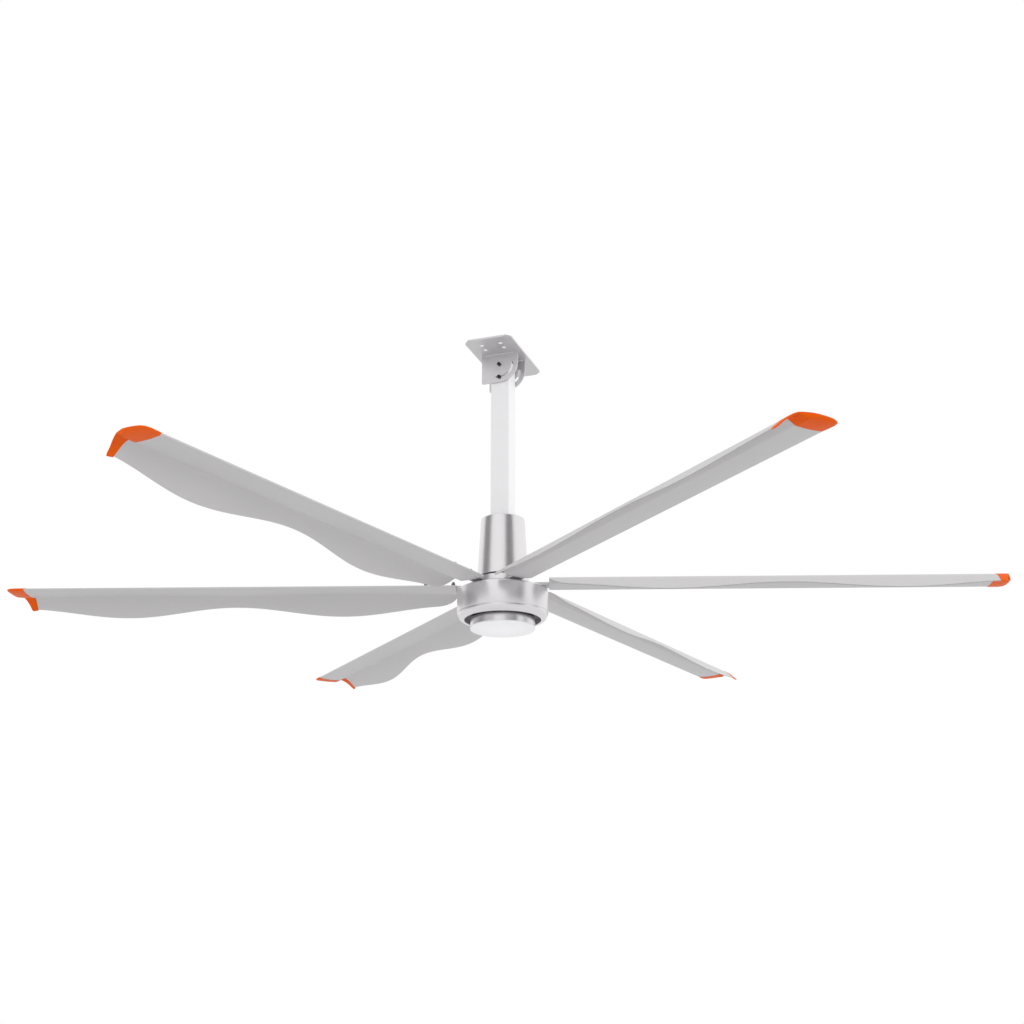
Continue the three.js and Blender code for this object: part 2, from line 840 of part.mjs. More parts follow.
// The cap carries the blade section outward. It reaches furthest behind the nose, sweeps back
// to the trailing edge, and thins toward its outer end.
function makeCapSolid() {
  const steps = 12;
  const bulge = noseRadius / 2 + capSkin; // how far the front edge stands ahead of the plan
  const rings = capPlan.map(([share, front, back]) => {
    const thin = Math.max(Math.sqrt(1 - share ** 3), 0.16);
    const over = [];
    const under = [];
    for (let i = 0; i <= steps; i += 1) {
      const eased = (1 - Math.cos((i / steps) * Math.PI)) / 2;
      const across = THREE.MathUtils.lerp(i / steps, eased, 0.5);
      const aft = THREE.MathUtils.lerp(front - bulge, back + capSkin, across);
      const within = Math.max(aft, 0);
      const top = bladeTop(within) + capSkin;
      const low = bladeUnderside(within) - capSkin;
      const fromFront = Math.max(aft - front + bulge, 0) / (2 * noseRadius);
      const round = THREE.MathUtils.clamp(Math.sqrt(fromFront), 0.12, 1);
      const half = ((top - low) / 2) * thin * round;
      const middle = (top + low) / 2;
      over.push([bladeTip + seat + share * capReach, leadOffset - aft, middle + half]);
      under.push([bladeTip + seat + share * capReach, leadOffset - aft, middle - half]);
    }
    return [...over, ...under.reverse()];
  });
  return loft(rings);
}

// closed solid through rings of equal point counts
function loft(rings) {
  const positions = [];
  const indices = [];
  const count = rings[0].length;
  for (const ring of rings) {
    for (const point of ring) positions.push(...point);
  }
  for (let i = 0; i < rings.length - 1; i += 1) {
    for (let j = 0; j < count; j += 1) {
      const a = i * count + j;
      const b = i * count + ((j + 1) % count);
      indices.push(a, b, a + count, b, b + count, a + count);
    }
  }
  const half = count / 2;
  for (const [start, flip] of [[0, false], [(rings.length - 1) * count, true]]) {
    for (let j = 0; j < half - 1; j += 1) {
      const a = start + j;
      const b = start + j + 1;
      const c = start + count - 1 - j;
      const d = start + count - 2 - j;
      if (flip) indices.push(a, b, c, b, d, c);
      else indices.push(a, c, b, b, c, d);
    }
  }
  const geometry = new THREE.BufferGeometry();
  geometry.setAttribute('position', new THREE.Float32BufferAttribute(positions, 3));
  geometry.setIndex(indices);
  return solidOf(geometry);
}

function makeCapWithPlug() {
  let solid = makeCapSolid();
  for (const outline of [armCell(0), heelCell(armFit)]) {
    const tongue = polygon(outline, new THREE.Shape());
    solid = solid.add(solidOf(spanwise(tongue, bladeTip - capPlug, bladeTip + 4)));
  }
  return solid;
}

// ---------- assembly ----------

const fan = new THREE.Group();
fan.add(makeBracket());
fan.add(makeBracketBolt('pivot_bolt', pivotZ));
fan.add(makeBracketNut('pivot_nut', pivotZ));

const hanging = new THREE.Group(); // all that swings about the pivot bolt
fan.add(hanging);
hanging.add(makeRod());
hanging.add(makeBracketBolt('swing_bolt', pivotZ - slotRadius));
hanging.add(makeBracketNut('swing_nut', pivotZ - slotRadius));
hanging.add(makeRodFlange());
for (let i = 0; i < 4; i += 1) {
  hanging.add(makeFlangeBolt(i));
}
hanging.add(makeCover());
hanging.add(makeShaft());
hanging.add(makeCore());
hanging.add(makeCoil('upper_winding', coreTop, 1));
hanging.add(makeCoil('lower_winding', coreBottom, -1));
hanging.add(makeDrumCarrier());
hanging.add(makeShaftNut());
hanging.add(makeDrum());

const rotor = new THREE.Group(); // all that spins about the shaft
hanging.add(rotor);
rotor.add(makeHousing());
rotor.add(makeEndPlate());
rotor.add(makeBearing('upper_bearing', housingTop - bearingLip - bearingWidth));
rotor.add(makeBearing('lower_bearing', endPlateZ + bearingLip));
rotor.add(makeMagnets());
rotor.add(makeArmSeat());
rotor.add(makeArmClamp());

const bladeSolid = makeBladeSolid();
const armSolid = makeArmSolid();
const capSolid = makeCapWithPlug();
const bladeBoltSolid = makeBladeBoltSolid();

for (let i = 0; i < bladeCount; i += 1) {
  const spoke = new THREE.Group();
  spoke.position.z = leadZ;
  spoke.rotation.z = THREE.MathUtils.degToRad(bladePhase + (i * 360) / bladeCount);
  spoke.add(piece(`blade_arm_${i + 1}`, armSolid.clone(), laminated));
  spoke.add(piece(`blade_${i + 1}`, bladeSolid, bladeGrey));
  spoke.add(piece(`tip_cap_${i + 1}`, capSolid, orange));
  bladeBolts.forEach((along, row) => {
    const bolt = piece(`blade_bolt_${i + 1}_${row + 1}`, bladeBoltSolid, darkSteel);
    bolt.position.set(along, arm.middle, 0);
    spoke.add(bolt);
  });
  rotor.add(spoke);
}

export default fan;
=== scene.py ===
import math

import bmesh
import bpy
from mathutils import Matrix, Vector


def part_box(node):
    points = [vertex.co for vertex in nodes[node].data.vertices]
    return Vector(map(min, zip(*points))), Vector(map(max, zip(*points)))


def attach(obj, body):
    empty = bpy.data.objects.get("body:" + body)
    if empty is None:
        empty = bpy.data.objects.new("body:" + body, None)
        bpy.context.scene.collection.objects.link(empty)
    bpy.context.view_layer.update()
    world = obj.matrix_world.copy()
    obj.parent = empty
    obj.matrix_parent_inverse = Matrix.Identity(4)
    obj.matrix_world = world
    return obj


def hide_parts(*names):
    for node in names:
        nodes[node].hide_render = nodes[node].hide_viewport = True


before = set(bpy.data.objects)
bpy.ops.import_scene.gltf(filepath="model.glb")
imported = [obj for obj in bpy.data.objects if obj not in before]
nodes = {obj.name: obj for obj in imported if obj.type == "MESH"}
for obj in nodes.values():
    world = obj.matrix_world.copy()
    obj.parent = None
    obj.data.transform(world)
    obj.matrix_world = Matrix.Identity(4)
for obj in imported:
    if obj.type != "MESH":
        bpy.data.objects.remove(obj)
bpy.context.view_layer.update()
print("frame loaded:", len(nodes), "nodes")


# shader maths

class Value:
    # one output socket, with arithmetic that adds Math nodes

    def __init__(self, tree, socket):
        self.tree = tree
        self.socket = socket

    def combine(self, operation, first, second):
        node = self.tree.nodes.new("ShaderNodeMath")
        node.operation = operation
        for socket, value in zip(node.inputs, (first, second)):
            if isinstance(value, Value):
                self.tree.links.new(value.socket, socket)
            else:
                socket.default_value = value
        return Value(self.tree, node.outputs[0])

    def __add__(self, other):
        return self.combine("ADD", self, other)

    def __radd__(self, other):
        return self.combine("ADD", other, self)

    def __sub__(self, other):
        return self.combine("SUBTRACT", self, other)

    def __rsub__(self, other):
        return self.combine("SUBTRACT", other, self)

    def __mul__(self, other):
        return self.combine("MULTIPLY", self, other)

    def __rmul__(self, other):
        return self.combine("MULTIPLY", other, self)


class NodeTree:
    # short ways to fill a node tree

    def __init__(self, tree):
        self.tree = tree

    def node(self, kind, settings=None, sockets=None, out=0):
        node = self.tree.nodes.new(kind)
        for key, value in (settings or {}).items():
            setattr(node, key, value)
        for key, value in (sockets or {}).items():
            self.fill(node.inputs[key], value)
        return Value(self.tree, node.outputs[out])

    def fill(self, socket, value):
        if isinstance(value, Value):
            self.tree.links.new(value.socket, socket)
        elif socket.type == "RGBA":
            socket.default_value = (*value, 1.0)
        else:
            socket.default_value = value


class Finish(NodeTree):
    # a material, and the patterns that vary its colour, roughness and bump

    def __init__(self, name):
        self.material = bpy.data.materials.new(name)
        self.material.use_nodes = True
        super().__init__(self.material.node_tree)
        self.shader = self.tree.nodes["Principled BSDF"]

    def place(self, stretch=(1.0, 1.0, 1.0)):
        # object coordinates in metres, stretched to give a pattern its grain
        coords = self.node("ShaderNodeTexCoord", out="Object")
        return self.node("ShaderNodeVectorMath", {"operation": "MULTIPLY"}, {0: coords, 1: stretch})

    def noise(self, scale, detail=3.0, roughness=0.5, stretch=(1.0, 1.0, 1.0)):
        return self.node(
            "ShaderNodeTexNoise",
            {},
            {"Vector": self.place(stretch), "Scale": scale, "Detail": detail, "Roughness": roughness},
            out="Fac",
        )

    def turnedLines(self, scale):
        # fine rings about the Z axis, that follow both height and distance from the axis
        across = self.node(
            "ShaderNodeVectorMath", {"operation": "LENGTH"}, {0: self.place((1.0, 1.0, 0.0))}, out="Value"
        )
        height = self.node("ShaderNodeSeparateXYZ", {}, {0: self.place()}, out="Z")
        return self.node(
            "ShaderNodeTexNoise",
            {"noise_dimensions": "1D"},
            {"W": across + height, "Scale": scale, "Detail": 2.0, "Roughness": 0.6},
            out="Fac",
        )

    def blend(self, factor, first, second):
        return self.node("ShaderNodeMix", {"data_type": "RGBA"}, {0: factor, 6: first, 7: second}, out=2)

    def shade(self, factor, look):
        # the colour of a finish, made darker and lighter by a pattern
        darker, lighter = look["shades"]
        return self.blend(factor, tone(look["colour"], darker), tone(look["colour"], lighter))

    def bump(self, height, distance, strength):
        sockets = {"Height": height, "Distance": distance, "Strength": strength}
        return self.node("ShaderNodeBump", {}, sockets)

    def set(self, **sockets):
        for key, value in sockets.items():
            self.fill(self.shader.inputs[key.replace("_", " ")], value)
        return self.material


def tone(colour, share):
    return tuple(min(channel * share, 1.0) for channel in colour)


# finishes: "shades" are shares of the colour, "spread" is how far the grain moves the roughness,
# and each "depth" is the height of a bump in metres

bladeFinish = {
    "colour": (0.56, 0.55, 0.555),
    "shades": (0.97, 1.03),
    "cloudScale": 2.2,
    "metallic": 0.25,
    "roughness": 0.42,
    "spread": 0.12,
    "grainScale": 700.0,
    "depth": 0.00004,
}


def makeBladePaint():
    look = bladeFinish
    finish = Finish("satinSilverPaint")
    cloud = finish.noise(look["cloudScale"], detail=4.0)
    grain = finish.noise(look["grainScale"], detail=2.0)
    return finish.set(
        Base_Color=finish.shade(cloud, look),
        Metallic=look["metallic"],
        Roughness=look["roughness"] + (grain - 0.5) * look["spread"],
        Normal=finish.bump(grain, look["depth"], 0.3),
    )


shellFinish = {
    "colour": (0.80, 0.785, 0.795),
    "shades": (0.98, 1.02),
    "cloudScale": 9.0,
    "metallic": 0.95,
    "roughness": 0.30,
    "spread": 0.10,
    "lineScale": 2600.0,
    "depth": 0.000012,
}


def makeShellMetal():
    look = shellFinish
    finish = Finish("turnedAluminium")
    cloud = finish.noise(look["cloudScale"])
    lines = finish.turnedLines(look["lineScale"])
    return finish.set(
        Base_Color=finish.shade(cloud, look),
        Metallic=look["metallic"],
        Roughness=look["roughness"] + (lines - 0.5) * look["spread"],
        Normal=finish.bump(lines, look["depth"], 0.3),
    )


rodFinish = {
    "colour": (0.83, 0.825, 0.835),
    "shades": (0.975, 1.02),
    "cloudScale": 6.0,
    "roughness": 0.45,
    "spread": 0.15,
    "speckScale": 900.0,
    "depth": 0.00006,
}


def makeRodPaint():
    look = rodFinish
    finish = Finish("rodPowderCoat")
    cloud = finish.noise(look["cloudScale"])
    speck = finish.noise(look["speckScale"], detail=1.0)
    return finish.set(
        Base_Color=finish.shade(cloud, look),
        Roughness=look["roughness"] + (speck - 0.5) * look["spread"],
        Normal=finish.bump(speck, look["depth"], 0.35),
    )


bracketFinish = {
    "colour": (0.64, 0.63, 0.64),
    "shades": (0.92, 1.08),
    "cloudScale": 22.0,
    "metallic": 0.6,
    "roughness": 0.36,
    "spread": 0.2,
    "lineScale": 420.0,
    "lineSpread": 0.08,
    "depth": 0.00005,
}


def makeBracketSteel():
    look = bracketFinish
    finish = Finish("zincSteel")
    cloud = finish.noise(look["cloudScale"], detail=5.0, roughness=0.6)
    lines = finish.noise(look["lineScale"], detail=2.0, stretch=(0.02, 1.0, 1.0))
    spread = (cloud - 0.5) * look["spread"] + (lines - 0.5) * look["lineSpread"]
    return finish.set(
        Base_Color=finish.shade(cloud, look),
        Metallic=look["metallic"],
        Roughness=look["roughness"] + spread,
        Normal=finish.bump(lines, look["depth"], 0.4),
    )


capFinish = {
    "colour": (0.80, 0.105, 0.0),
    "shades": (0.93, 1.07),
    "cloudScale": 14.0,
    "gloss": 0.1,
    "roughness": 0.42,
    "spread": 0.18,
    "grainScale": 1500.0,
    "depth": 0.00005,
}


def makeCapPlastic():
    look = capFinish
    finish = Finish("orangeNylon")
    cloud = finish.noise(look["cloudScale"])
    grain = finish.noise(look["grainScale"], detail=2.0)
    return finish.set(
        Base_Color=finish.shade(cloud, look),
        Roughness=look["roughness"] + (grain - 0.5) * look["spread"],
        Specular_IOR_Level=look["gloss"],
        Normal=finish.bump(grain, look["depth"], 0.4),
    )


drumFinish = {
    "colour": (0.86, 0.86, 0.87),
    "shades": (0.985, 1.01),
    "cloudScale": 8.0,
    "roughness": 0.4,
    "spread": 0.1,
    "grainScale": 1200.0,
    "depth": 0.00004,
}


def makeDrumPaint():
    look = drumFinish
    finish = Finish("whiteEnamel")
    cloud = finish.noise(look["cloudScale"])
    grain = finish.noise(look["grainScale"], detail=1.0)
    return finish.set(
        Base_Color=finish.shade(cloud, look),
        Roughness=look["roughness"] + (grain - 0.5) * look["spread"],
        Normal=finish.bump(grain, look["depth"], 0.3),
    )


darkFinish = {
    "colour": (0.035, 0.034, 0.036),
    "shades": (0.7, 1.6),
    "cloudScale": 120.0,
    "metallic": 0.6,
    "roughness": 0.42,
    "spread": 0.25,
    "depth": 0.0001,
}

# the nuts on the blades are worn brighter than the bolts of the bracket
nutFinish = {**darkFinish, "colour": (0.15, 0.148, 0.15), "cloudScale": 160.0, "roughness": 0.36}


def makeDarkSteel(name, look):
    finish = Finish(name)
    cloud = finish.noise(look["cloudScale"], detail=4.0)
    return finish.set(
        Base_Color=finish.shade(cloud, look),
        Metallic=look["metallic"],
        Roughness=look["roughness"] + (cloud - 0.5) * look["spread"],
        Normal=finish.bump(cloud, look["depth"], 0.3),
    )


# metals with fine lines along Z, in two shades: ground steel, and the near white of the hole walls, which
# is a painted highlight
groundFinish = {
    "dark": (0.42, 0.42, 0.43),
    "light": (0.58, 0.58, 0.6),
    "metallic": 0.9,
    "roughness": 0.3,
    "spread": 0.2,
    "lineScale": 500.0,
    "depth": 0.00005,
    "strength": 0.4,
}
# near white for the walls of the punched holes: a painted highlight, not the metal's own colour
holeWallHighlightFinish = {
    "dark": (0.86, 0.86, 0.87),
    "light": (0.95, 0.95, 0.96),
    "metallic": 0.0,
    "roughness": 0.5,
    "spread": 0.1,
    "lineScale": 600.0,
    "depth": 0.00003,
    "strength": 0.3,
}


def makeLinedMetal(name, look):
    finish = Finish(name)
    lines = finish.noise(look["lineScale"], detail=2.0, stretch=(1.0, 1.0, 0.05))
    return finish.set(
        Base_Color=finish.blend(lines, look["dark"], look["light"]),
        Metallic=look["metallic"],
        Roughness=look["roughness"] + (lines - 0.5) * look["spread"],
        Normal=finish.bump(lines, look["depth"], look["strength"]),
    )


coreFinish = {
    "dark": (0.12, 0.12, 0.13),
    "light": (0.26, 0.26, 0.28),
    "metallic": 0.7,
    "roughness": 0.5,
    "sheetScale": 300.0,
    "depth": 0.0002,
}


def makeLaminations():
    look = coreFinish
    finish = Finish("coreLaminations")
    sheets = finish.node(
        "ShaderNodeTexWave",
        {"bands_direction": "Z"},
        {"Vector": finish.place(), "Scale": look["sheetScale"], "Distortion": 0.4, "Detail": 2.0},
        out="Fac",
    )
    return finish.set(
        Base_Color=finish.blend(sheets, look["dark"], look["light"]),
        Metallic=look["metallic"],
        Roughness=look["roughness"],
        Normal=finish.bump(sheets, look["depth"], 0.5),
    )


windingFinish = {
    "dark": (0.26, 0.07, 0.03),
    "light": (0.62, 0.24, 0.11),
    "metallic": 0.7,
    "roughness": 0.35,
    "strandScale": 260.0,
    "depth": 0.0006,
}


def makeWinding():
    look = windingFinish
    finish = Finish("enamelledCopper")
    strands = finish.noise(look["strandScale"], stretch=(1.0, 1.0, 0.2))
    return finish.set(
        Base_Color=finish.blend(strands, look["dark"], look["light"]),
        Metallic=look["metallic"],
        Roughness=look["roughness"],
        Normal=finish.bump(strands, look["depth"], 0.7),
    )


bladePaint = makeBladePaint()
shellMetal = makeShellMetal()
rodPaint = makeRodPaint()
bracketSteel = makeBracketSteel()
holeWallHighlight = makeLinedMetal("holeWallHighlight", holeWallHighlightFinish)
capPlastic = makeCapPlastic()
drumPaint = makeDrumPaint()
darkSteel = makeDarkSteel("blackOxideSteel", darkFinish)
nutSteel = makeDarkSteel("wornNutSteel", nutFinish)
bareSteel = makeLinedMetal("groundSteel", groundFinish)
laminations = makeLaminations()
winding = makeWinding()
print("finishes made")


# mesh helpers

def makeObject(name, points, faces, materials, smoothAngle=32.0):
    mesh = bpy.data.meshes.new(name)
    mesh.from_pydata([tuple(point) for point in points], [], faces)
    mesh.validate()
    return dressMesh(name, mesh, materials, smoothAngle)


def dressMesh(name, mesh, materials, smoothAngle=32.0):
    for material in materials:
        mesh.materials.append(material)
    cleaner = bmesh.new()
    cleaner.from_mesh(mesh)
    bmesh.ops.remove_doubles(cleaner, verts=cleaner.verts, dist=1e-6)
    bmesh.ops.recalc_face_normals(cleaner, faces=cleaner.faces)
    cleaner.to_mesh(mesh)
    cleaner.free()
    for polygon in mesh.polygons:
        polygon.use_smooth = True
    mesh.set_sharp_from_angle(angle=math.radians(smoothAngle))
    piece = bpy.data.objects.new(name, mesh)
    bpy.context.scene.collection.objects.link(piece)
    return piece


def addPiece(piece, body, slotName, *stoodFor):
    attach(piece, body)
    if stoodFor:
        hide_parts(*stoodFor)
    return piece


def merge(name, pieces, materials):
    # joins loose pieces, whose faces keep their materials
    joined = bmesh.new()
    for piece in pieces:
        part = piece.data
        part.transform(piece.matrix_basis)
        places = [materials.index(material) for material in part.materials]
        for polygon in part.polygons:
            polygon.material_index = places[polygon.material_index]
        joined.from_mesh(part)
        bpy.data.objects.remove(piece)
    mesh = bpy.data.meshes.new(name)
    joined.to_mesh(mesh)
    joined.free()
    for material in materials:
        mesh.materials.append(material)
    piece = bpy.data.objects.new(name, mesh)
    bpy.context.scene.collection.objects.link(piece)
    return piece


def softened(points, radius, steps=3):
    # rounds every corner of a closed outline with a short curve, which leaves a part of each side straight
    made = []
    count = len(points)
    for index in range(count):
        here = Vector(points[index])
        before = Vector(points[index - 1]) - here
        after = Vector(points[(index + 1) % count]) - here
        reach = min(radius, before.length * 0.45, after.length * 0.45)
        start = here + before.normalized() * reach
        end = here + after.normalized() * reach
        for step in range(steps + 1):
            t = step / steps
            made.append(tuple(start * (1 - t) ** 2 + here * (2 * t * (1 - t)) + end * t ** 2))
    return made


def ringLoft(name, rings, materials, closed=False, smoothAngle=32.0):
    # skin through rings of equal length, either closed in a loop or capped with one face at each end
    count = len(rings[0])
    points = [point for ring in rings for point in ring]
    faces = []
    spans = len(rings) if closed else len(rings) - 1
    for row in range(spans):
        low = row * count
        high = ((row + 1) % len(rings)) * count
        for column in range(count):
            following = (column + 1) % count
            faces.append((low + column, low + following, high + following, high + column))
    if not closed:
        faces.append(tuple(range(count))[::-1])
        faces.append(tuple((len(rings) - 1) * count + column for column in range(count)))
    return makeObject(name, points, faces, materials, smoothAngle)


def turned(name, profile, materials, segments=128):
    # closed profile of radius and height, turned about the Z axis
    points = []
    faces = []
    count = len(profile)
    for step in range(segments):
        angle = 2 * math.pi * step / segments
        for radius, height in profile:
            points.append((radius * math.cos(angle), radius * math.sin(angle), height))
    for step in range(segments):
        following = (step + 1) % segments
        for index in range(count):
            other = (index + 1) % count
            if profile[index][0] < 1e-7 and profile[other][0] < 1e-7:
                continue
            faces.append((
                step * count + index,
                following * count + index,
                following * count + other,
                step * count + other,
            ))
    return makeObject(name, points, faces, materials)


def slab(name, outlines, thickness, edge, material):
    # flat plate of an outline with holes, with rounded edges, lying in X and Y
    curve = bpy.data.curves.new(name, "CURVE")
    curve.dimensions = "2D"
    curve.fill_mode = "BOTH"
    curve.extrude = thickness / 2 - edge
    curve.bevel_depth = edge
    curve.bevel_resolution = 2
    curve.offset = -edge
    for outline in outlines:
        spline = curve.splines.new("POLY")
        spline.points.add(len(outline) - 1)
        spline.use_cyclic_u = True
        for point, (x, y) in zip(spline.points, outline):
            point.co = (x, y, 0.0, 1.0)
    holder = bpy.data.objects.new(name + "Outline", curve)
    bpy.context.scene.collection.objects.link(holder)
    bpy.context.view_layer.update()
    graph = bpy.context.evaluated_depsgraph_get()
    mesh = bpy.data.meshes.new_from_object(holder.evaluated_get(graph))
    bpy.data.objects.remove(holder)
    mesh.materials.clear()
    # this small angle keeps the shading of the edges off the flat faces
    return dressMesh(name, mesh, [material], 14.0)


def arc(centre, radius, fromDegrees, toDegrees, steps):
    points = []
    for step in range(steps + 1):
        angle = math.radians(fromDegrees + (toDegrees - fromDegrees) * step / steps)
        points.append((centre[0] + radius * math.cos(angle), centre[1] + radius * math.sin(angle)))
    return points


def circle(radius, centre=(0.0, 0.0), steps=32):
    return arc(centre, radius, 0.0, 360.0, steps)[:-1]


hexHead = {
    "segments": 48,
    "washerThick": 0.002,
    "washerRound": 0.0005,
    "chamfer": 0.0006,
    "chamferDrop": 0.0016,
    # share of half the width over flats, and shares of the crown
    "crown": 0.94,
    "crownCut": 1.05,
    "crownInner": 0.96,
    "crownRise": 0.0002,
}


def hexRadius(angle, flats):
    within = (angle + math.pi / 6) % (math.pi / 3) - math.pi / 6
    return flats / 2 / math.cos(within)


def hexBolt(name, flats, height, washer, shank, depth, material):
    # chamfered head on a washer, with its shank down along -Z
    size = hexHead
    crown = flats / 2 * size["crown"]
    thick, soft, chamfer = size["washerThick"], size["washerRound"], size["chamfer"]
    levels = [
        ("round", shank, -depth),
        ("round", shank, 0.0),
        ("round", washer - chamfer, 0.0),
        ("round", washer, soft),
        ("round", washer, thick - soft),
        ("round", washer - chamfer, thick),
        ("hex", 0.985, thick),
        ("hex", 1.0, thick + chamfer),
        ("hex", 1.0, height - size["chamferDrop"]),
        ("cut", 1.0, height - chamfer),
        ("round", crown, height),
        ("round", crown * size["crownInner"], height + size["crownRise"]),
    ]
    rings = []
    for form, reach, level in levels:
        ring = []
        for step in range(size["segments"]):
            angle = 2 * math.pi * step / size["segments"]
            radius = reach
            if form == "hex":
                radius = hexRadius(angle, flats) * reach
            if form == "cut":
                radius = min(hexRadius(angle, flats), crown * size["crownCut"])
            ring.append((radius * math.cos(angle), radius * math.sin(angle), level))
        rings.append(ring)
    return ringLoft(name, rings, [material], smoothAngle=38.0)


# ceiling bracket

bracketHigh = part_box("ceiling_bracket")[1]
rodLow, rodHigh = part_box("down_rod")
boltLow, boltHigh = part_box("pivot_bolt")
swingLow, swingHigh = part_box("swing_bolt")
pivotHeight = (boltLow.z + boltHigh.z) / 2
slotRadius = pivotHeight - (swingLow.z + swingHigh.z) / 2

bracket = {
    "plate": 0.010,
    "chamfer": 0.028,
    "cornerRound": 0.006,
    "anchorRadius": 0.010,
    "anchorX": 0.050,
    "anchorY": (0.127, 0.180),
    "ear": 0.008,
    "earLeft": 0.095,
    "earRight": 0.100,
    "earDepth": 0.098,
    "earRound": 0.006,
    "sidePlay": 0.002,
    "hole": 0.0066,
    "swingForward": 90.0,
    "swingBack": 10.0,
    "edge": 0.0009,
    "weld": 0.0042,
    "weldInset": 0.003,
    "weldSink": 0.001,
    "weldRipple": 0.14,
}
earMiddle = rodHigh.y + bracket["sidePlay"] + bracket["ear"] / 2


def makePlate():
    size = bracket
    x, y = bracketHigh.x, bracketHigh.y
    shortX, shortY = x - size["chamfer"], y - size["chamfer"]
    corners = [
        (x, -shortY), (x, shortY), (shortX, y), (-shortX, y),
        (-x, shortY), (-x, -shortY), (-shortX, -y), (shortX, -y),
    ]
    outlines = [softened(corners, size["cornerRound"], 4)]
    centres = [
        Vector((across * size["anchorX"], side * along, 0.0))
        for side in (-1, 1) for across in (-1, 1) for along in size["anchorY"]
    ]
    outlines += [circle(size["anchorRadius"], centre) for centre in centres]
    plate = slab("plate", outlines, size["plate"], size["edge"], bracketSteel)
    # the walls of the punched holes get a near-white colour, a painted highlight for the light that falls
    # into them
    plate.data.materials.append(holeWallHighlight)
    for polygon in plate.data.polygons:
        nearest = min((polygon.center.xy - centre.xy).length for centre in centres)
        if abs(polygon.normal.z) < 0.99 and nearest < size["anchorRadius"] + size["edge"]:
            polygon.material_index = 1
    plate.location.z = -size["plate"] / 2
    return plate


def makeEar(side):
    size = bracket
    top = -size["plate"] - pivotHeight
    left, right, depth, soft = -size["earLeft"], size["earRight"], size["earDepth"], size["earRound"]
    outline = [(left, top), (left, soft - depth)]
    outline += arc((left + soft, soft - depth), soft, 180, 270, 8)[1:]
    outline += arc((right - depth, 0.0), depth, -90, 0, 28)
    outline += [(right, top)]
    start, end = -90 - size["swingBack"], -90 + size["swingForward"]
    hole = size["hole"]
    ends = [
        (slotRadius * math.cos(math.radians(angle)), slotRadius * math.sin(math.radians(angle)))
        for angle in (start, end)
    ]
    slot = arc((0.0, 0.0), slotRadius + hole, start, end, 36)
    slot += arc(ends[1], hole, end, end + 180, 16)[1:-1]
    slot += arc((0.0, 0.0), slotRadius - hole, end, start, 36)
    slot += arc(ends[0], hole, start + 180, start + 360, 16)[1:-1]
    ear = slab("ear", [outline, circle(hole), slot], size["ear"], size["edge"], bracketSteel)
    upright = Matrix.Rotation(math.pi / 2, 4, "X")
    ear.matrix_basis = Matrix.Translation((0.0, side * earMiddle, pivotHeight)) @ upright
    return ear


def makeWeld(side, face):
    # rippled fillet between an ear and the plate
    size = bracket
    wall = side * earMiddle + face * size["ear"] / 2
    start, end = size["weldInset"] - size["earLeft"], size["earRight"] - size["weldInset"]
    steps = 90
    rings = []
    for step in range(steps + 1):
        x = start + (end - start) * step / steps
        swell = size["weld"] * (1.0 - size["weldRipple"] * (1.0 - abs(math.sin(step * 1.3))))
        reach = swell * min(1.0, step / 4 + 0.2, (steps - step) / 4 + 0.2)
        ring = [(x, wall - face * size["weldSink"], -size["plate"] + size["weldSink"])]
        for turn in range(5):
            angle = math.pi / 2 * turn / 4
            bulge = reach * (1.0 - 0.18 * math.sin(2 * angle))
            y = wall + face * bulge * math.cos(angle)
            ring.append((x, y, -size["plate"] - bulge * math.sin(angle)))
        rings.append(ring)
    return ringLoft("weld", rings, [bracketSteel], smoothAngle=50.0)


def makeBracket():
    loose = [makePlate()]
    for side in (-1, 1):
        loose.append(makeEar(side))
        for face in (-1, 1):
            loose.append(makeWeld(side, face))
    whole = merge("ceilingBracket", loose, [bracketSteel, holeWallHighlight])
    return addPiece(whole, "bracket", "bracket_steel", "ceiling_bracket")


# bolts through the ears

bracketBolt = {
    "head": 0.009,
    "headHeight": 0.011,
    "corner": 0.0012,
    "radius": 0.006,
    "end": 0.001,
    "socket": 0.0035,
    "socketEdge": 0.0006,
    "nut": 0.018,
    "washer": 0.0102,
    "play": 0.0001,
}


def makeCrossBolt(name, body, stoodFor, height):
    # round head with a socket, towards -Y
    size = bracketBolt
    start, tail = boltLow.y, boltHigh.y
    neck = start + size["headHeight"]
    head, radius, corner, end = size["head"], size["radius"], size["corner"], size["end"]
    socket, edge = size["socket"], size["socketEdge"]
    profile = [
        (0.0, tail), (radius - end, tail), (radius, tail - end), (radius, neck), (head, neck),
        (head, start + corner), (head - corner * 0.3, start + corner * 0.3), (head - corner, start),
        (socket + edge, start), (socket, start + edge),
        (socket, start + size["headHeight"] * 0.55), (0.0, start + size["headHeight"] * 0.6),
    ]
    bolt = turned(name, [(reach, -place) for reach, place in profile], [darkSteel], 48)
    bolt.data.transform(Matrix.Translation((0, 0, height)) @ Matrix.Rotation(math.pi / 2, 4, "X"))
    return addPiece(bolt, body, "dark_steel", stoodFor)


def makeCrossNut(name, body, stoodFor, height):
    size = bracketBolt
    low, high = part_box(stoodFor)
    tall = high.y - low.y - 0.0005
    play = size["play"]
    nut = hexBolt(name, size["nut"], tall, size["washer"], size["radius"] + play, play, darkSteel)
    nut.data.transform(Matrix.Translation((0, low.y, height)) @ Matrix.Rotation(-math.pi / 2, 4, "X"))
    return addPiece(nut, body, "dark_steel", stoodFor)


# down rod

rod = {"wall": 0.005, "corner": 0.008, "innerCorner": 0.004, "lip": 0.0008}


def squareRing(half, corner, height, perCorner=8):
    points = []
    for quarter, (sx, sy) in enumerate(((1, 1), (-1, 1), (-1, -1), (1, -1))):
        centre = (sx * (half - corner), sy * (half - corner))
        for x, y in arc(centre, corner, quarter * 90, quarter * 90 + 90, perCorner):
            points.append((x, y, height))
    return points


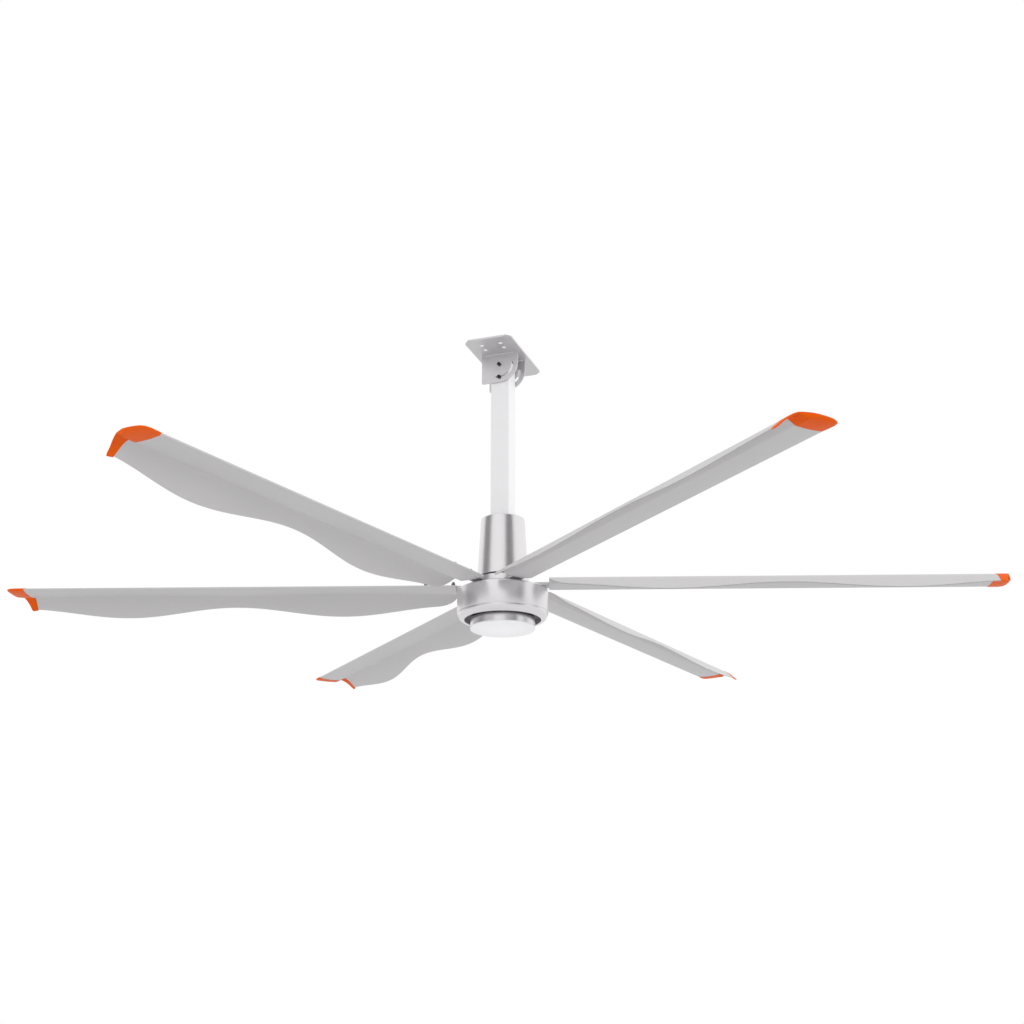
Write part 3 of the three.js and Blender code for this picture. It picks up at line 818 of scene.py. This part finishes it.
def makeRod():
    half, corner, lip = rodHigh.x, rod["corner"], rod["lip"]
    inner = half - rod["wall"]
    rings = [
        squareRing(half - lip, corner - lip, rodHigh.z),
        squareRing(half, corner, rodHigh.z - lip),
        squareRing(half, corner, rodLow.z + lip),
        squareRing(half - lip, corner - lip, rodLow.z),
        squareRing(inner, rod["innerCorner"], rodLow.z),
        squareRing(inner, rod["innerCorner"], rodHigh.z),
    ]
    tube = ringLoft("downRod", rings, [rodPaint], closed=True, smoothAngle=40.0)
    return addPiece(tube, "downrod", "rod_paint", "down_rod")


# cone cover over the joint of rod and motor

coverLow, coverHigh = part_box("cone_cover")
cover = {
    "topRadius": 0.109,
    "wall": 0.003,
    "rim": 0.009,
    "hem": 0.0012,
    "flat": 0.080,
    "rodPlay": 0.0004,
    "holeEdge": 0.001,
    "segments": 160,
}


def squareRadius(angle, half, corner):
    # distance from the centre to a rounded square, in the direction of an angle
    x, y = abs(math.cos(angle)), abs(math.sin(angle))
    straight = half / max(x, y)
    if straight * min(x, y) <= half - corner:
        return straight
    centre = half - corner
    along = centre * (x + y)
    return along + math.sqrt(max(along * along - 2 * centre * centre + corner * corner, 0.0))


def makeCover():
    size = cover
    base, top, rim, wall = coverHigh.x, coverHigh.z, size["rim"], size["wall"]
    rimCentre = (size["topRadius"] - rim, top - rim)
    outer = [(base - size["hem"], coverLow.z), (base, coverLow.z + size["hem"])]
    for share in (0.25, 0.5, 0.75):
        height = coverLow.z + (rimCentre[1] - coverLow.z) * share
        outer.append((base + (size["topRadius"] - base) * share, height))
    outer += arc(rimCentre, rim, 0, 90, 8)
    outer.append((size["flat"], top))
    inner = [(radius - wall, height) for radius, height in outer[1:5]]
    inner += arc(rimCentre, rim - wall, 0, 90, 6)
    inner.append((size["flat"], top - wall))
    hole, holeEdge = rodHigh.x + size["rodPlay"], size["holeEdge"]
    levels = [("round", *point) for point in outer]
    levels += [("square", hole + holeEdge, top), ("square", hole, top - holeEdge)]
    levels += [("square", hole, top - wall)]
    levels += [("round", *point) for point in inner[::-1]]
    levels += [("round", base - wall, coverLow.z)]
    rings = []
    for form, reach, height in levels:
        ring = []
        for step in range(size["segments"]):
            angle = 2 * math.pi * step / size["segments"]
            radius = reach if form == "round" else squareRadius(angle, reach, rod["corner"])
            ring.append((radius * math.cos(angle), radius * math.sin(angle), height))
        rings.append(ring)
    shell = ringLoft("coneCover", rings, [shellMetal], closed=True)
    return addPiece(shell, "downrod", "silver", "cone_cover")


# motor housing

housingLow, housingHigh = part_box("motor_housing")
housing = {
    "edge": 0.007,
    "side": 0.1145,
    "bead": 0.003,
    "beadRound": 0.0012,
    "beadFoot": 0.0008,
    "mouth": 0.193,
    "rimRound": 0.002,
    "rimWall": 0.006,
    "pocket": 0.022,
    "pocketRise": 0.012,
    "wall": 0.009,
    "bore": 0.051,
    "boss": 0.075,
    "bossThick": 0.012,
}


def makeHousing():
    size = housing
    radius, top, rim = housingHigh.x, housingHigh.z, housingLow.z
    edge, beadRound, foot, wall = size["edge"], size["beadRound"], size["beadFoot"], size["wall"]
    sideEnd = top - size["side"]
    inset = radius - size["bead"]
    profile = [(size["bore"], top - size["bossThick"]), (size["bore"], top)]
    profile += arc((radius - edge, top - edge), edge, 90, 0, 10)
    # the bead at the lower end of the straight side
    profile += [(radius, sideEnd + beadRound), (radius - beadRound / 3, sideEnd + beadRound / 4)]
    profile += [(radius - beadRound, sideEnd), (inset + foot, sideEnd), (inset, sideEnd - foot)]
    # the round shoulder under it, down to the mouth
    drop = sideEnd - size["bead"] - rim
    for step in range(1, 25):
        turn = math.pi / 2 * step / 24
        profile.append((
            size["mouth"] + (inset - size["mouth"]) * math.cos(turn),
            sideEnd - size["bead"] - drop * math.sin(turn),
        ))
    inner = size["mouth"] - size["rimWall"]
    profile += arc((inner + size["rimRound"], rim + size["rimRound"]), size["rimRound"], -90, -180, 4)
    profile += [(inner, rim + size["pocket"])]
    profile += [(radius - wall, rim + size["pocket"] + size["pocketRise"]), (radius - wall, top - wall)]
    profile += [(size["boss"], top - wall), (size["boss"], top - size["bossThick"])]
    shell = turned("motorHousing", profile, [shellMetal], 192)
    return addPiece(shell, "rotor", "silver", "motor_housing")


# rings under and over the arms: node, rounding of the edges, steps of a round, metal, slot
armRings = {
    "armSeatRing": ("arm_seat_ring", 0.0015, 3, bareSteel, "dark_steel"),
    "armClampRing": ("arm_clamp_ring", 0.0018, 4, shellMetal, "silver"),
}


def makeArmRings():
    for name, (nodeName, edge, steps, metal, slotName) in armRings.items():
        low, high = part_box(nodeName)
        bore = housing["bore"]
        corners = [(bore, low.z), (high.x, low.z), (high.x, high.z), (bore, high.z)]
        ring = turned(name, softened(corners, edge, steps), [metal])
        addPiece(ring, "rotor", slotName, nodeName)


# drum under the motor

drumLow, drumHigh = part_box("bottom_drum")
drum = {"wall": 0.004, "edge": 0.005, "seam": 0.010, "groove": 0.0006, "lip": 0.0008, "floorRound": 0.002}


def makeDrum():
    radius, base, top = drumHigh.x, drumLow.z, drumHigh.z
    edge, wall, groove, lip = drum["edge"], drum["wall"], drum["groove"], drum["lip"]
    seam = base + drum["seam"]
    profile = [(0.0, base)]
    profile += arc((radius - edge, base + edge), edge, -90, 0, 8)
    profile += [(radius, seam - groove), (radius - groove, seam), (radius, seam + groove)]
    profile += [(radius, top - lip), (radius - lip, top), (radius - wall, top)]
    profile += [(radius - wall, base + wall + drum["floorRound"]), (0.0, base + wall)]
    piece = turned("bottomDrum", profile, [drumPaint, shellMetal], 160)
    # white below the seam, metal above it
    for polygon in piece.data.polygons:
        if polygon.center.z > seam:
            polygon.material_index = 1
    return addPiece(piece, "downrod", "drum_paint", "bottom_drum")


# blades

# "Aft" is behind the leading edge, and heights are above or below it
blade = {
    "count": 6,
    "phase": 18.0,
    "root": 0.228,
    "tip": 2.363,
    "lead": 0.033,
    "nose": 0.005,
    "crownAft": 0.090,
    "crownRise": 0.020,
    "shoulderAft": 0.152,
    "shoulderRise": 0.016,
    "skirtAft": 0.207,
    "skirtSlope": 0.942,
    "skirt": 0.0034,
    "bellyAft": 0.066,
    "bellyDepth": 0.0095,
    "heelAft": 0.128,
    "heelDepth": 0.007,
    "heelEnd": 0.158,
    "heelGap": 0.006,
    "soft": 0.001,
    "chord": 0.252,
    "wave": 0.021,
    "waveLength": 1.092,
    "firstCrest": 0.807,
    "reliefLength": 0.105,
    "reliefDepth": 0.052,
    "stations": 120,
    "cellWall": 0.003,
    "web": 0.0014,
    "armCellRound": 0.0015,
    "heelCellRound": 0.002,
}

arm = {
    "aft": 0.060,
    "width": 0.066,
    "thickness": 0.014,
    "drop": 0.004,
    "play": 0.0004,
    "start": 0.074,
    "end": 0.415,
    "corner": 0.008,
    "edge": 0.0008,
    "hole": 0.0063,
}

bladeBolt = {
    "places": (0.245, 0.380),
    "nut": 0.018,
    "washer": 0.0102,
    "radius": 0.006,
    "stickOut": 0.007,
    "chamfer": 0.0012,
    "sink": 0.002,
    # the washer lies on the skin as high as it is at this distance behind the bolt
    "footAft": 0.0104,
    "gap": 0.0003,
}

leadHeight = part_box("blade_arm_1")[0].z + arm["drop"]


def bladeTop(aft):
    size = blade
    crown, shoulder = size["crownAft"], size["shoulderAft"]
    if aft <= crown:
        return size["crownRise"] - (size["crownRise"] - size["nose"]) * (1 - aft / crown) ** 2
    fall = (size["crownRise"] - size["shoulderRise"]) / (shoulder - crown) ** 2
    if aft <= shoulder:
        return size["crownRise"] - fall * (aft - crown) ** 2
    slope = 2 * fall * (shoulder - crown)
    bend = (size["skirtSlope"] - slope) / (size["skirtAft"] - shoulder)
    into = min(aft, size["skirtAft"]) - shoulder
    bent = size["shoulderRise"] - slope * into - bend / 2 * into * into
    return bent - size["skirtSlope"] * max(aft - size["skirtAft"], 0.0)


def topSlope(aft):
    step = 0.0005
    return (bladeTop(aft + step) - bladeTop(aft - step)) / (2 * step)


def skirtUnderside(aft):
    return bladeTop(aft) - blade["skirt"] * math.hypot(1.0, topSlope(aft))


def bladeUnderside(aft):
    size = blade
    belly, heel, heelEnd = size["bellyAft"], size["heelAft"], size["heelEnd"]
    deep, heelDepth = size["bellyDepth"], size["heelDepth"]
    if aft <= belly:
        return (deep - size["nose"]) * (1 - max(aft, 0.0) / belly) ** 2 - deep
    if aft <= heel:
        return (deep - heelDepth) * ((aft - belly) / (heel - belly)) ** 2 - deep
    if aft < heelEnd:
        return (skirtUnderside(heelEnd) + heelDepth) * (aft - heel) / (heelEnd - heel) - heelDepth
    return skirtUnderside(aft)


def waveAft(along):
    size = blade
    turn = 2 * math.pi * (along - size["firstCrest"]) / size["waveLength"]
    into = max(0.0, size["reliefLength"] - (along - size["root"])) / size["reliefLength"]
    relief = size["reliefDepth"] * (1 - math.sqrt(max(0.0, 1 - into * into)))
    return size["chord"] + size["wave"] * math.cos(turn) - relief


def between(start, end, shares):
    return [start + (end - start) * share for share in shares]


def bladeSection(along):
    # closed outline of distance behind the leading edge and height, at one place along a blade
    size = blade
    crown, belly, heel, heelEnd = size["crownAft"], size["bellyAft"], size["heelAft"], size["heelEnd"]
    free = heelEnd + size["heelGap"]
    half = size["skirt"] / 2
    end = waveAft(along) - half
    over = between(0.0, crown, (0.03, 0.08, 0.15, 0.25, 0.38, 0.55, 0.75, 1.0))
    over += between(crown, free, (0.2, 0.4, 0.6, 0.8, 1.0))
    skirt = between(free, end, [step / 14 for step in range(1, 15)])
    points = [(aft, bladeTop(aft)) for aft in over + skirt]
    # round trailing edge
    outward = Vector((1.0, topSlope(end))).normalized()
    down = Vector((outward.y, -outward.x))
    middle = Vector((end, bladeTop(end))) + down * half
    for step in range(1, 6):
        turn = math.pi * step / 6
        points.append(tuple(middle - down * half * math.cos(turn) + outward * half * math.sin(turn)))
    points += [(aft, skirtUnderside(aft)) for aft in skirt[::-1]]
    # the underside, with its two corners rounded a little
    soft = size["soft"]
    under = [(heelEnd + 3 * soft, -0.0001), (heelEnd + soft, -0.0003), (heelEnd - soft, -0.0003)]
    under += [(aft, 0.0) for aft in between(heelEnd, heel, (0.12, 0.33, 0.57, 0.77, 0.9))]
    under += [(heel + soft, 0.0002), (heel - soft, 0.0002)]
    under += [(aft, 0.0) for aft in between(heel, belly, (0.05, 0.21, 0.40, 0.60, 0.79, 1.0))]
    under += [(aft, 0.0) for aft in between(belly, 0.0, (0.18, 0.36, 0.53, 0.68, 0.82, 0.92))]
    points += [(aft, bladeUnderside(aft) + lift) for aft, lift in under]
    nose = size["nose"]
    return points + [(-nose * 0.25, -nose * 0.72), (-nose * 0.5, 0.0), (-nose * 0.25, nose * 0.74)]


def cellOutlines(inset=0.0):
    # the cell of the arm and the cell behind it, as distance behind the leading edge and height
    size = blade
    play = arm["play"] - inset
    half = arm["width"] / 2
    front, back = arm["aft"] - half - play, arm["aft"] + half + play
    low, high = -arm["drop"] - play, arm["thickness"] - arm["drop"] + play
    armCell = [(front, low), (back, low), (back, high), (front, high)]
    skin = size["cellWall"] + inset
    front = arm["aft"] + half + size["web"] + skin
    back = size["heelEnd"] - 4 * skin
    heelCell = [
        (front, bladeUnderside(front) + skin), (size["heelAft"] - skin, skin - size["heelDepth"]),
        (back, bladeUnderside(back) + skin * 1.6), (back, bladeTop(back) - skin),
        (front, bladeTop(front) - skin),
    ]
    return [softened(armCell, size["armCellRound"]), softened(heelCell, size["heelCellRound"])]


def makeBladeMesh():
    size = blade
    root, tip, count = size["root"], size["tip"], size["stations"]
    stations = between(root, tip, [step / count for step in range(count + 1)])
    stations += between(root, root + size["reliefLength"], (0.02, 0.05, 0.09, 0.25, 0.6))
    stations.sort()
    ends = (stations[0], stations[-1])
    # the outside runs through every station, the cells only from end to end
    loops = [[(along, bladeSection(along)) for along in stations]]
    loops += [[(along, cell) for along in ends] for cell in cellOutlines()]
    built = bmesh.new()
    rims = {along: [] for along in ends}
    for loop in loops:
        previous = None
        for along, outline in loop:
            ring = [built.verts.new((along, size["lead"] - aft, height)) for aft, height in outline]
            for index in range(len(ring)):
                following = (index + 1) % len(ring)
                if previous:
                    built.faces.new((previous[index], previous[following], ring[following], ring[index]))
                if along in rims:
                    pair = (ring[index], ring[following])
                    rims[along].append(built.edges.get(pair) or built.edges.new(pair))
            previous = ring
    for edges in rims.values():
        bmesh.ops.triangle_fill(built, use_beauty=True, use_dissolve=False, edges=edges)
    mesh = bpy.data.meshes.new("blade")
    built.to_mesh(mesh)
    built.free()
    return mesh


def bladePlace(index):
    turn = Matrix.Rotation(math.radians(blade["phase"] + index * 360 / blade["count"]), 4, "Z")
    return Matrix.Translation((0, 0, leadHeight)) @ turn


def makeBlades():
    mesh = makeBladeMesh()
    for index in range(blade["count"]):
        own = mesh.copy()
        own.transform(bladePlace(index))
        piece = dressMesh(f"blade{index + 1}", own, [bladePaint], 24.0)
        addPiece(piece, "rotor", "blade_metal", f"blade_{index + 1}")


def makeArms():
    size = arm
    middle = blade["lead"] - size["aft"]
    low, high = middle - size["width"] / 2, middle + size["width"] / 2
    corners = [(size["start"], low), (size["end"], low), (size["end"], high), (size["start"], high)]
    outlines = [softened(corners, size["corner"], 8)]
    outlines += [circle(size["hole"], (along, middle)) for along in bladeBolt["places"]]
    lift = Matrix.Translation((0, 0, size["thickness"] / 2 - size["drop"]))
    for index in range(blade["count"]):
        name = f"bladeArm{index + 1}"
        piece = slab(name, outlines, size["thickness"], size["edge"], bareSteel)
        piece.data.transform(bladePlace(index) @ lift)
        addPiece(piece, "rotor", "bearing_steel", f"blade_arm_{index + 1}")


def makeBladeBolts():
    # a nut on its washer, with the end of the bolt's thread standing out of it
    size = bladeBolt
    radius, chamfer, sink = size["radius"], size["chamfer"], size["sink"]
    foot = bladeTop(arm["aft"] + size["footAft"]) + size["gap"]
    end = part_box("blade_bolt_1_1")[1].z - leadHeight - foot
    nutTop = end - size["stickOut"]
    start = nutTop - sink
    tall = nutTop - hexHead["crownRise"]
    thread = [(0.0, start), (radius, start), (radius, end - chamfer), (radius - chamfer, end), (0.0, end)]
    for index in range(blade["count"]):
        for row, along in enumerate(size["places"]):
            loose = [
                hexBolt("nut", size["nut"], tall, size["washer"], radius, foot + sink, nutSteel),
                turned("thread", thread, [nutSteel], 32),
            ]
            piece = merge(f"bladeBolt{index + 1}{'ab'[row]}", loose, [nutSteel])
            shift = Matrix.Translation((along, blade["lead"] - arm["aft"], foot))
            piece.data.transform(bladePlace(index) @ shift)
            addPiece(piece, "rotor", "dark_steel", f"blade_bolt_{index + 1}_{row + 1}")


# tip caps

cap = {
    "reach": 0.0918,
    "skin": 0.0016,
    "gap": 0.0003,
    "backRound": 0.004,
    "thinnest": 0.16,
    "edgeThinnest": 0.05,
    "plug": 0.045,
    "plugInset": 0.0005,
    "plugTaper": 0.003,
    "plugShrink": 0.9,
    "plugRoot": 0.002,
    "stations": 30,
    "across": 44,
    "easing": 0.6,
    # share of the reach, then the front and back edge behind the blade's leading edge
    "plan": [
        (0.0, 0.0, 0.235), (0.18, -0.002, 0.237), (0.33, -0.003, 0.236), (0.40, -0.0035, 0.216),
        (0.5, -0.004, 0.196), (0.66, -0.003, 0.164), (0.79, 0.001, 0.135), (0.88, 0.009, 0.117),
        (0.95, 0.022, 0.102), (1.0, 0.042, 0.084),
    ],
}


def smoothValue(table, share, column):
    # value of a table column at a share, on a smooth line through its rows
    places = [row[0] for row in table]
    values = [row[column] for row in table]
    last = len(places) - 1
    index = min(max(sum(place <= share for place in places) - 1, 0), last - 1)

    def steep(at):
        low, high = max(at - 1, 0), min(at + 1, last)
        return (values[high] - values[low]) / (places[high] - places[low])

    width = places[index + 1] - places[index]
    t = (share - places[index]) / width
    return (
        values[index] * (2 * t ** 3 - 3 * t ** 2 + 1)
        + values[index + 1] * (3 * t ** 2 - 2 * t ** 3)
        + steep(index) * width * (t ** 3 - 2 * t ** 2 + t)
        + steep(index + 1) * width * (t ** 3 - t ** 2)
    )


def capRing(share):
    # closed outline of a cap at a share of its reach
    size = cap
    skin, count = size["skin"], size["across"]
    front = smoothValue(size["plan"], share, 1) - blade["nose"] / 2 - skin
    back = smoothValue(size["plan"], share, 2) + skin
    thin = max(math.sqrt(max(1 - share ** 3, 0.0)), size["thinnest"])
    x = blade["tip"] + size["gap"] + share * size["reach"]
    over, under = [], []
    for step in range(count + 1):
        # points lie closer together near both edges
        eased = (1 - math.cos(step / count * math.pi)) / 2
        aft = front + (back - front) * (step / count * (1 - size["easing"]) + eased * size["easing"])
        top = bladeTop(max(aft, 0.0)) + skin
        low = bladeUnderside(max(aft, 0.0)) - skin
        fromFront = max(aft - front, 0.0) / (2 * blade["nose"])
        fromBack = max(back - aft, 0.0) / size["backRound"]
        edge = min(math.sqrt(fromFront), 1.0) * min(math.sqrt(fromBack), 1.0)
        half = (top - low) / 2 * thin * max(edge, size["edgeThinnest"])
        over.append((x, blade["lead"] - aft, (top + low) / 2 + half))
        under.append((x, blade["lead"] - aft, (top + low) / 2 - half))
    return over + under[::-1]


def makeTongue(outline):
    # part of a cap that plugs into a cell of its blade
    middleAft = sum(aft for aft, height in outline) / len(outline)
    middleHeight = sum(height for aft, height in outline) / len(outline)
    start, end = blade["tip"] - cap["plug"], blade["tip"] + cap["plugRoot"]
    rings = []
    for x, shrink in ((start, cap["plugShrink"]), (start + cap["plugTaper"], 1.0), (end, 1.0)):
        rings.append([
            (
                x,
                blade["lead"] - middleAft - (aft - middleAft) * shrink,
                middleHeight + (height - middleHeight) * shrink,
            )
            for aft, height in outline
        ])
    return ringLoft("tongue", rings, [capPlastic], smoothAngle=40.0)


def makeCaps():
    stations = cap["stations"]
    rings = [capRing(math.sin(step / stations * math.pi / 2)) for step in range(stations + 1)]
    for index in range(blade["count"]):
        loose = [ringLoft("capShell", rings, [capPlastic], smoothAngle=40.0)]
        loose += [makeTongue(outline) for outline in cellOutlines(cap["plugInset"])]
        piece = merge(f"tipCap{index + 1}", loose, [capPlastic])
        piece.data.transform(bladePlace(index))
        addPiece(piece, "rotor", "cap_orange", f"tip_cap_{index + 1}")


# pieces inside the motor and cover, kept from the frame: these metals, and dark steel for the others

keptFinishes = {
    "upper_bearing": bareSteel,
    "lower_bearing": bareSteel,
    "stator_core": laminations,
    "upper_winding": winding,
    "lower_winding": winding,
}


def finishKeptNodes():
    for name, node in nodes.items():
        if node.hide_render:
            continue
        node.data.materials.clear()
        node.data.materials.append(keptFinishes.get(name, darkSteel))


makeBracket()
makeCrossBolt("pivotBolt", "bracket", "pivot_bolt", pivotHeight)
makeCrossNut("pivotNut", "bracket", "pivot_nut", pivotHeight)
makeCrossBolt("swingBolt", "downrod", "swing_bolt", pivotHeight - slotRadius)
makeCrossNut("swingNut", "downrod", "swing_nut", pivotHeight - slotRadius)
makeRod()
print("bracket and rod made")
makeCover()
makeHousing()
makeArmRings()
makeDrum()
print("motor made")
makeArms()
makeBlades()
makeBladeBolts()
makeCaps()
print("blades made")
finishKeptNodes()


# studio

studio = {
    "floor": -4.6,
    # the floor ends just before the camera at the photo's angle would see it
    "floorReach": 98.0,
    "floorFinish": {
        "colour": (0.78, 0.78, 0.785),
        "shades": (0.995, 1.005),
        "cloudScale": 0.7,
        "roughness": 0.8,
    },
    "air": (1.0, 1.0, 1.0),
    "ambient": 0.77,
    "softness": 35.0,
    # turn about Z, rise above the floor, strength
    "suns": {
        "leftSun": (200.0, 0.0, 0.56),
        "rightSun": (12.0, 6.0, 1.17),
        "frontSun": (285.0, 10.0, 0.53),
        "topSun": (60.0, 76.0, 0.7),
    },
    # narrow lamp under the motor, as wide as its beam reaches at the drum
    "drumLamp": {"height": -3.5, "reach": 0.26, "power": 34.0, "size": 0.2, "blend": 0.5},
    # dark cards that only mirror in the bright metal: turn from, turn to, low edge, high edge
    "cards": {"leftCard": (186.0, 228.0, -1.5, 3.5), "rightCard": (303.0, 342.0, -1.5, 3.5)},
    "cardReach": 3.2,
    "cardShade": 0.20,
}


def makeWorld():
    # soft light for the object, and plain white where a ray meets the background itself
    world = bpy.data.worlds.new("studioAir")
    world.use_nodes = True
    air = NodeTree(world.node_tree)
    air.tree.nodes.remove(air.tree.nodes["Background"])
    direct = air.node("ShaderNodeLightPath", out="Is Camera Ray")
    for ray in ("Is Glossy Ray", "Is Transmission Ray"):
        other = air.node("ShaderNodeLightPath", out=ray)
        direct = air.node("ShaderNodeMath", {"operation": "MAXIMUM"}, {0: direct, 1: other})
    soft, plain = (
        air.node("ShaderNodeBackground", {}, {"Color": studio["air"], "Strength": strength})
        for strength in (studio["ambient"], 1.0)
    )
    mixed = air.node("ShaderNodeMixShader", {}, {0: direct, 1: soft, 2: plain})
    air.fill(air.tree.nodes["World Output"].inputs["Surface"], mixed)
    bpy.context.scene.world = world


def headTo(turn, rise):
    # direction of a turn about Z and a rise above the level, in degrees
    turn, rise = math.radians(turn), math.radians(rise)
    return Vector((math.cos(turn) * math.cos(rise), math.sin(turn) * math.cos(rise), math.sin(rise)))


def makeSun(name, turn, rise, strength):
    lamp = bpy.data.lights.new(name, "SUN")
    lamp.energy = strength
    lamp.angle = math.radians(studio["softness"])
    holder = bpy.data.objects.new(name, lamp)
    holder.visible_glossy = False
    bpy.context.scene.collection.objects.link(holder)
    holder.rotation_euler = (-headTo(turn, rise)).to_track_quat("-Z", "Y").to_euler()


def makeDrumLamp():
    size = studio["drumLamp"]
    lamp = bpy.data.lights.new("drumLamp", "SPOT")
    lamp.energy = size["power"]
    lamp.spot_size = 2 * math.atan(size["reach"] / (drumLow.z - size["height"]))
    lamp.spot_blend = size["blend"]
    lamp.shadow_soft_size = size["size"]
    holder = bpy.data.objects.new("drumLamp", lamp)
    holder.visible_glossy = False
    holder.location.z = size["height"]
    holder.rotation_euler.x = math.pi
    bpy.context.scene.collection.objects.link(holder)


def makeFloor():
    rim = [(x, y, 0.0) for x, y in circle(studio["floorReach"], steps=96)]
    finish = Finish("paleFloor")
    look = studio["floorFinish"]
    finish.set(Base_Color=finish.shade(finish.noise(look["cloudScale"]), look), Roughness=look["roughness"])
    floor = makeObject("floor", rim, [tuple(range(len(rim)))], [finish.material])
    floor.location.z = studio["floor"]


def makeCards():
    finish = Finish("darkCard")
    shade = studio["cardShade"]
    finish.set(Base_Color=(shade, shade, shade), Roughness=0.9, Specular_IOR_Level=0.0)
    for name, (start, end, low, high) in studio["cards"].items():
        edge = arc((0.0, 0.0), studio["cardReach"], start, end, 16)
        points = [(x, y, height) for height in (low, high) for x, y in edge]
        count = len(edge)
        faces = [(step, step + 1, count + step + 1, count + step) for step in range(count - 1)]
        card = makeObject(name, points, faces, [finish.material])
        card.visible_camera = False
        card.visible_diffuse = False
        card.visible_shadow = False
        card.visible_transmission = False


# the photo's camera, worked out from the blades and their tips
view = {
    "place": (2.3367, -6.4202, -3.1686),
    "turn": 109.62,
    "pitch": 18.754,
    "lens": 50.785,
    "sensor": 36.0,
    "farEnd": 200.0,
}


def makeCamera():
    camera = bpy.data.cameras.new("photoCamera")
    camera.lens = view["lens"]
    camera.sensor_width = view["sensor"]
    camera.sensor_fit = "HORIZONTAL"
    camera.clip_end = view["farEnd"]
    holder = bpy.data.objects.new("photoCamera", camera)
    bpy.context.scene.collection.objects.link(holder)
    holder.location = view["place"]
    holder.rotation_euler = headTo(view["turn"], view["pitch"]).to_track_quat("-Z", "Y").to_euler()
    bpy.context.scene.camera = holder


makeWorld()
for sunName, (sunTurn, sunRise, sunStrength) in studio["suns"].items():
    makeSun(sunName, sunTurn, sunRise, sunStrength)
makeDrumLamp()
makeFloor()
makeCards()
makeCamera()
bpy.context.scene.view_settings.view_transform = "Standard"
print("studio made")
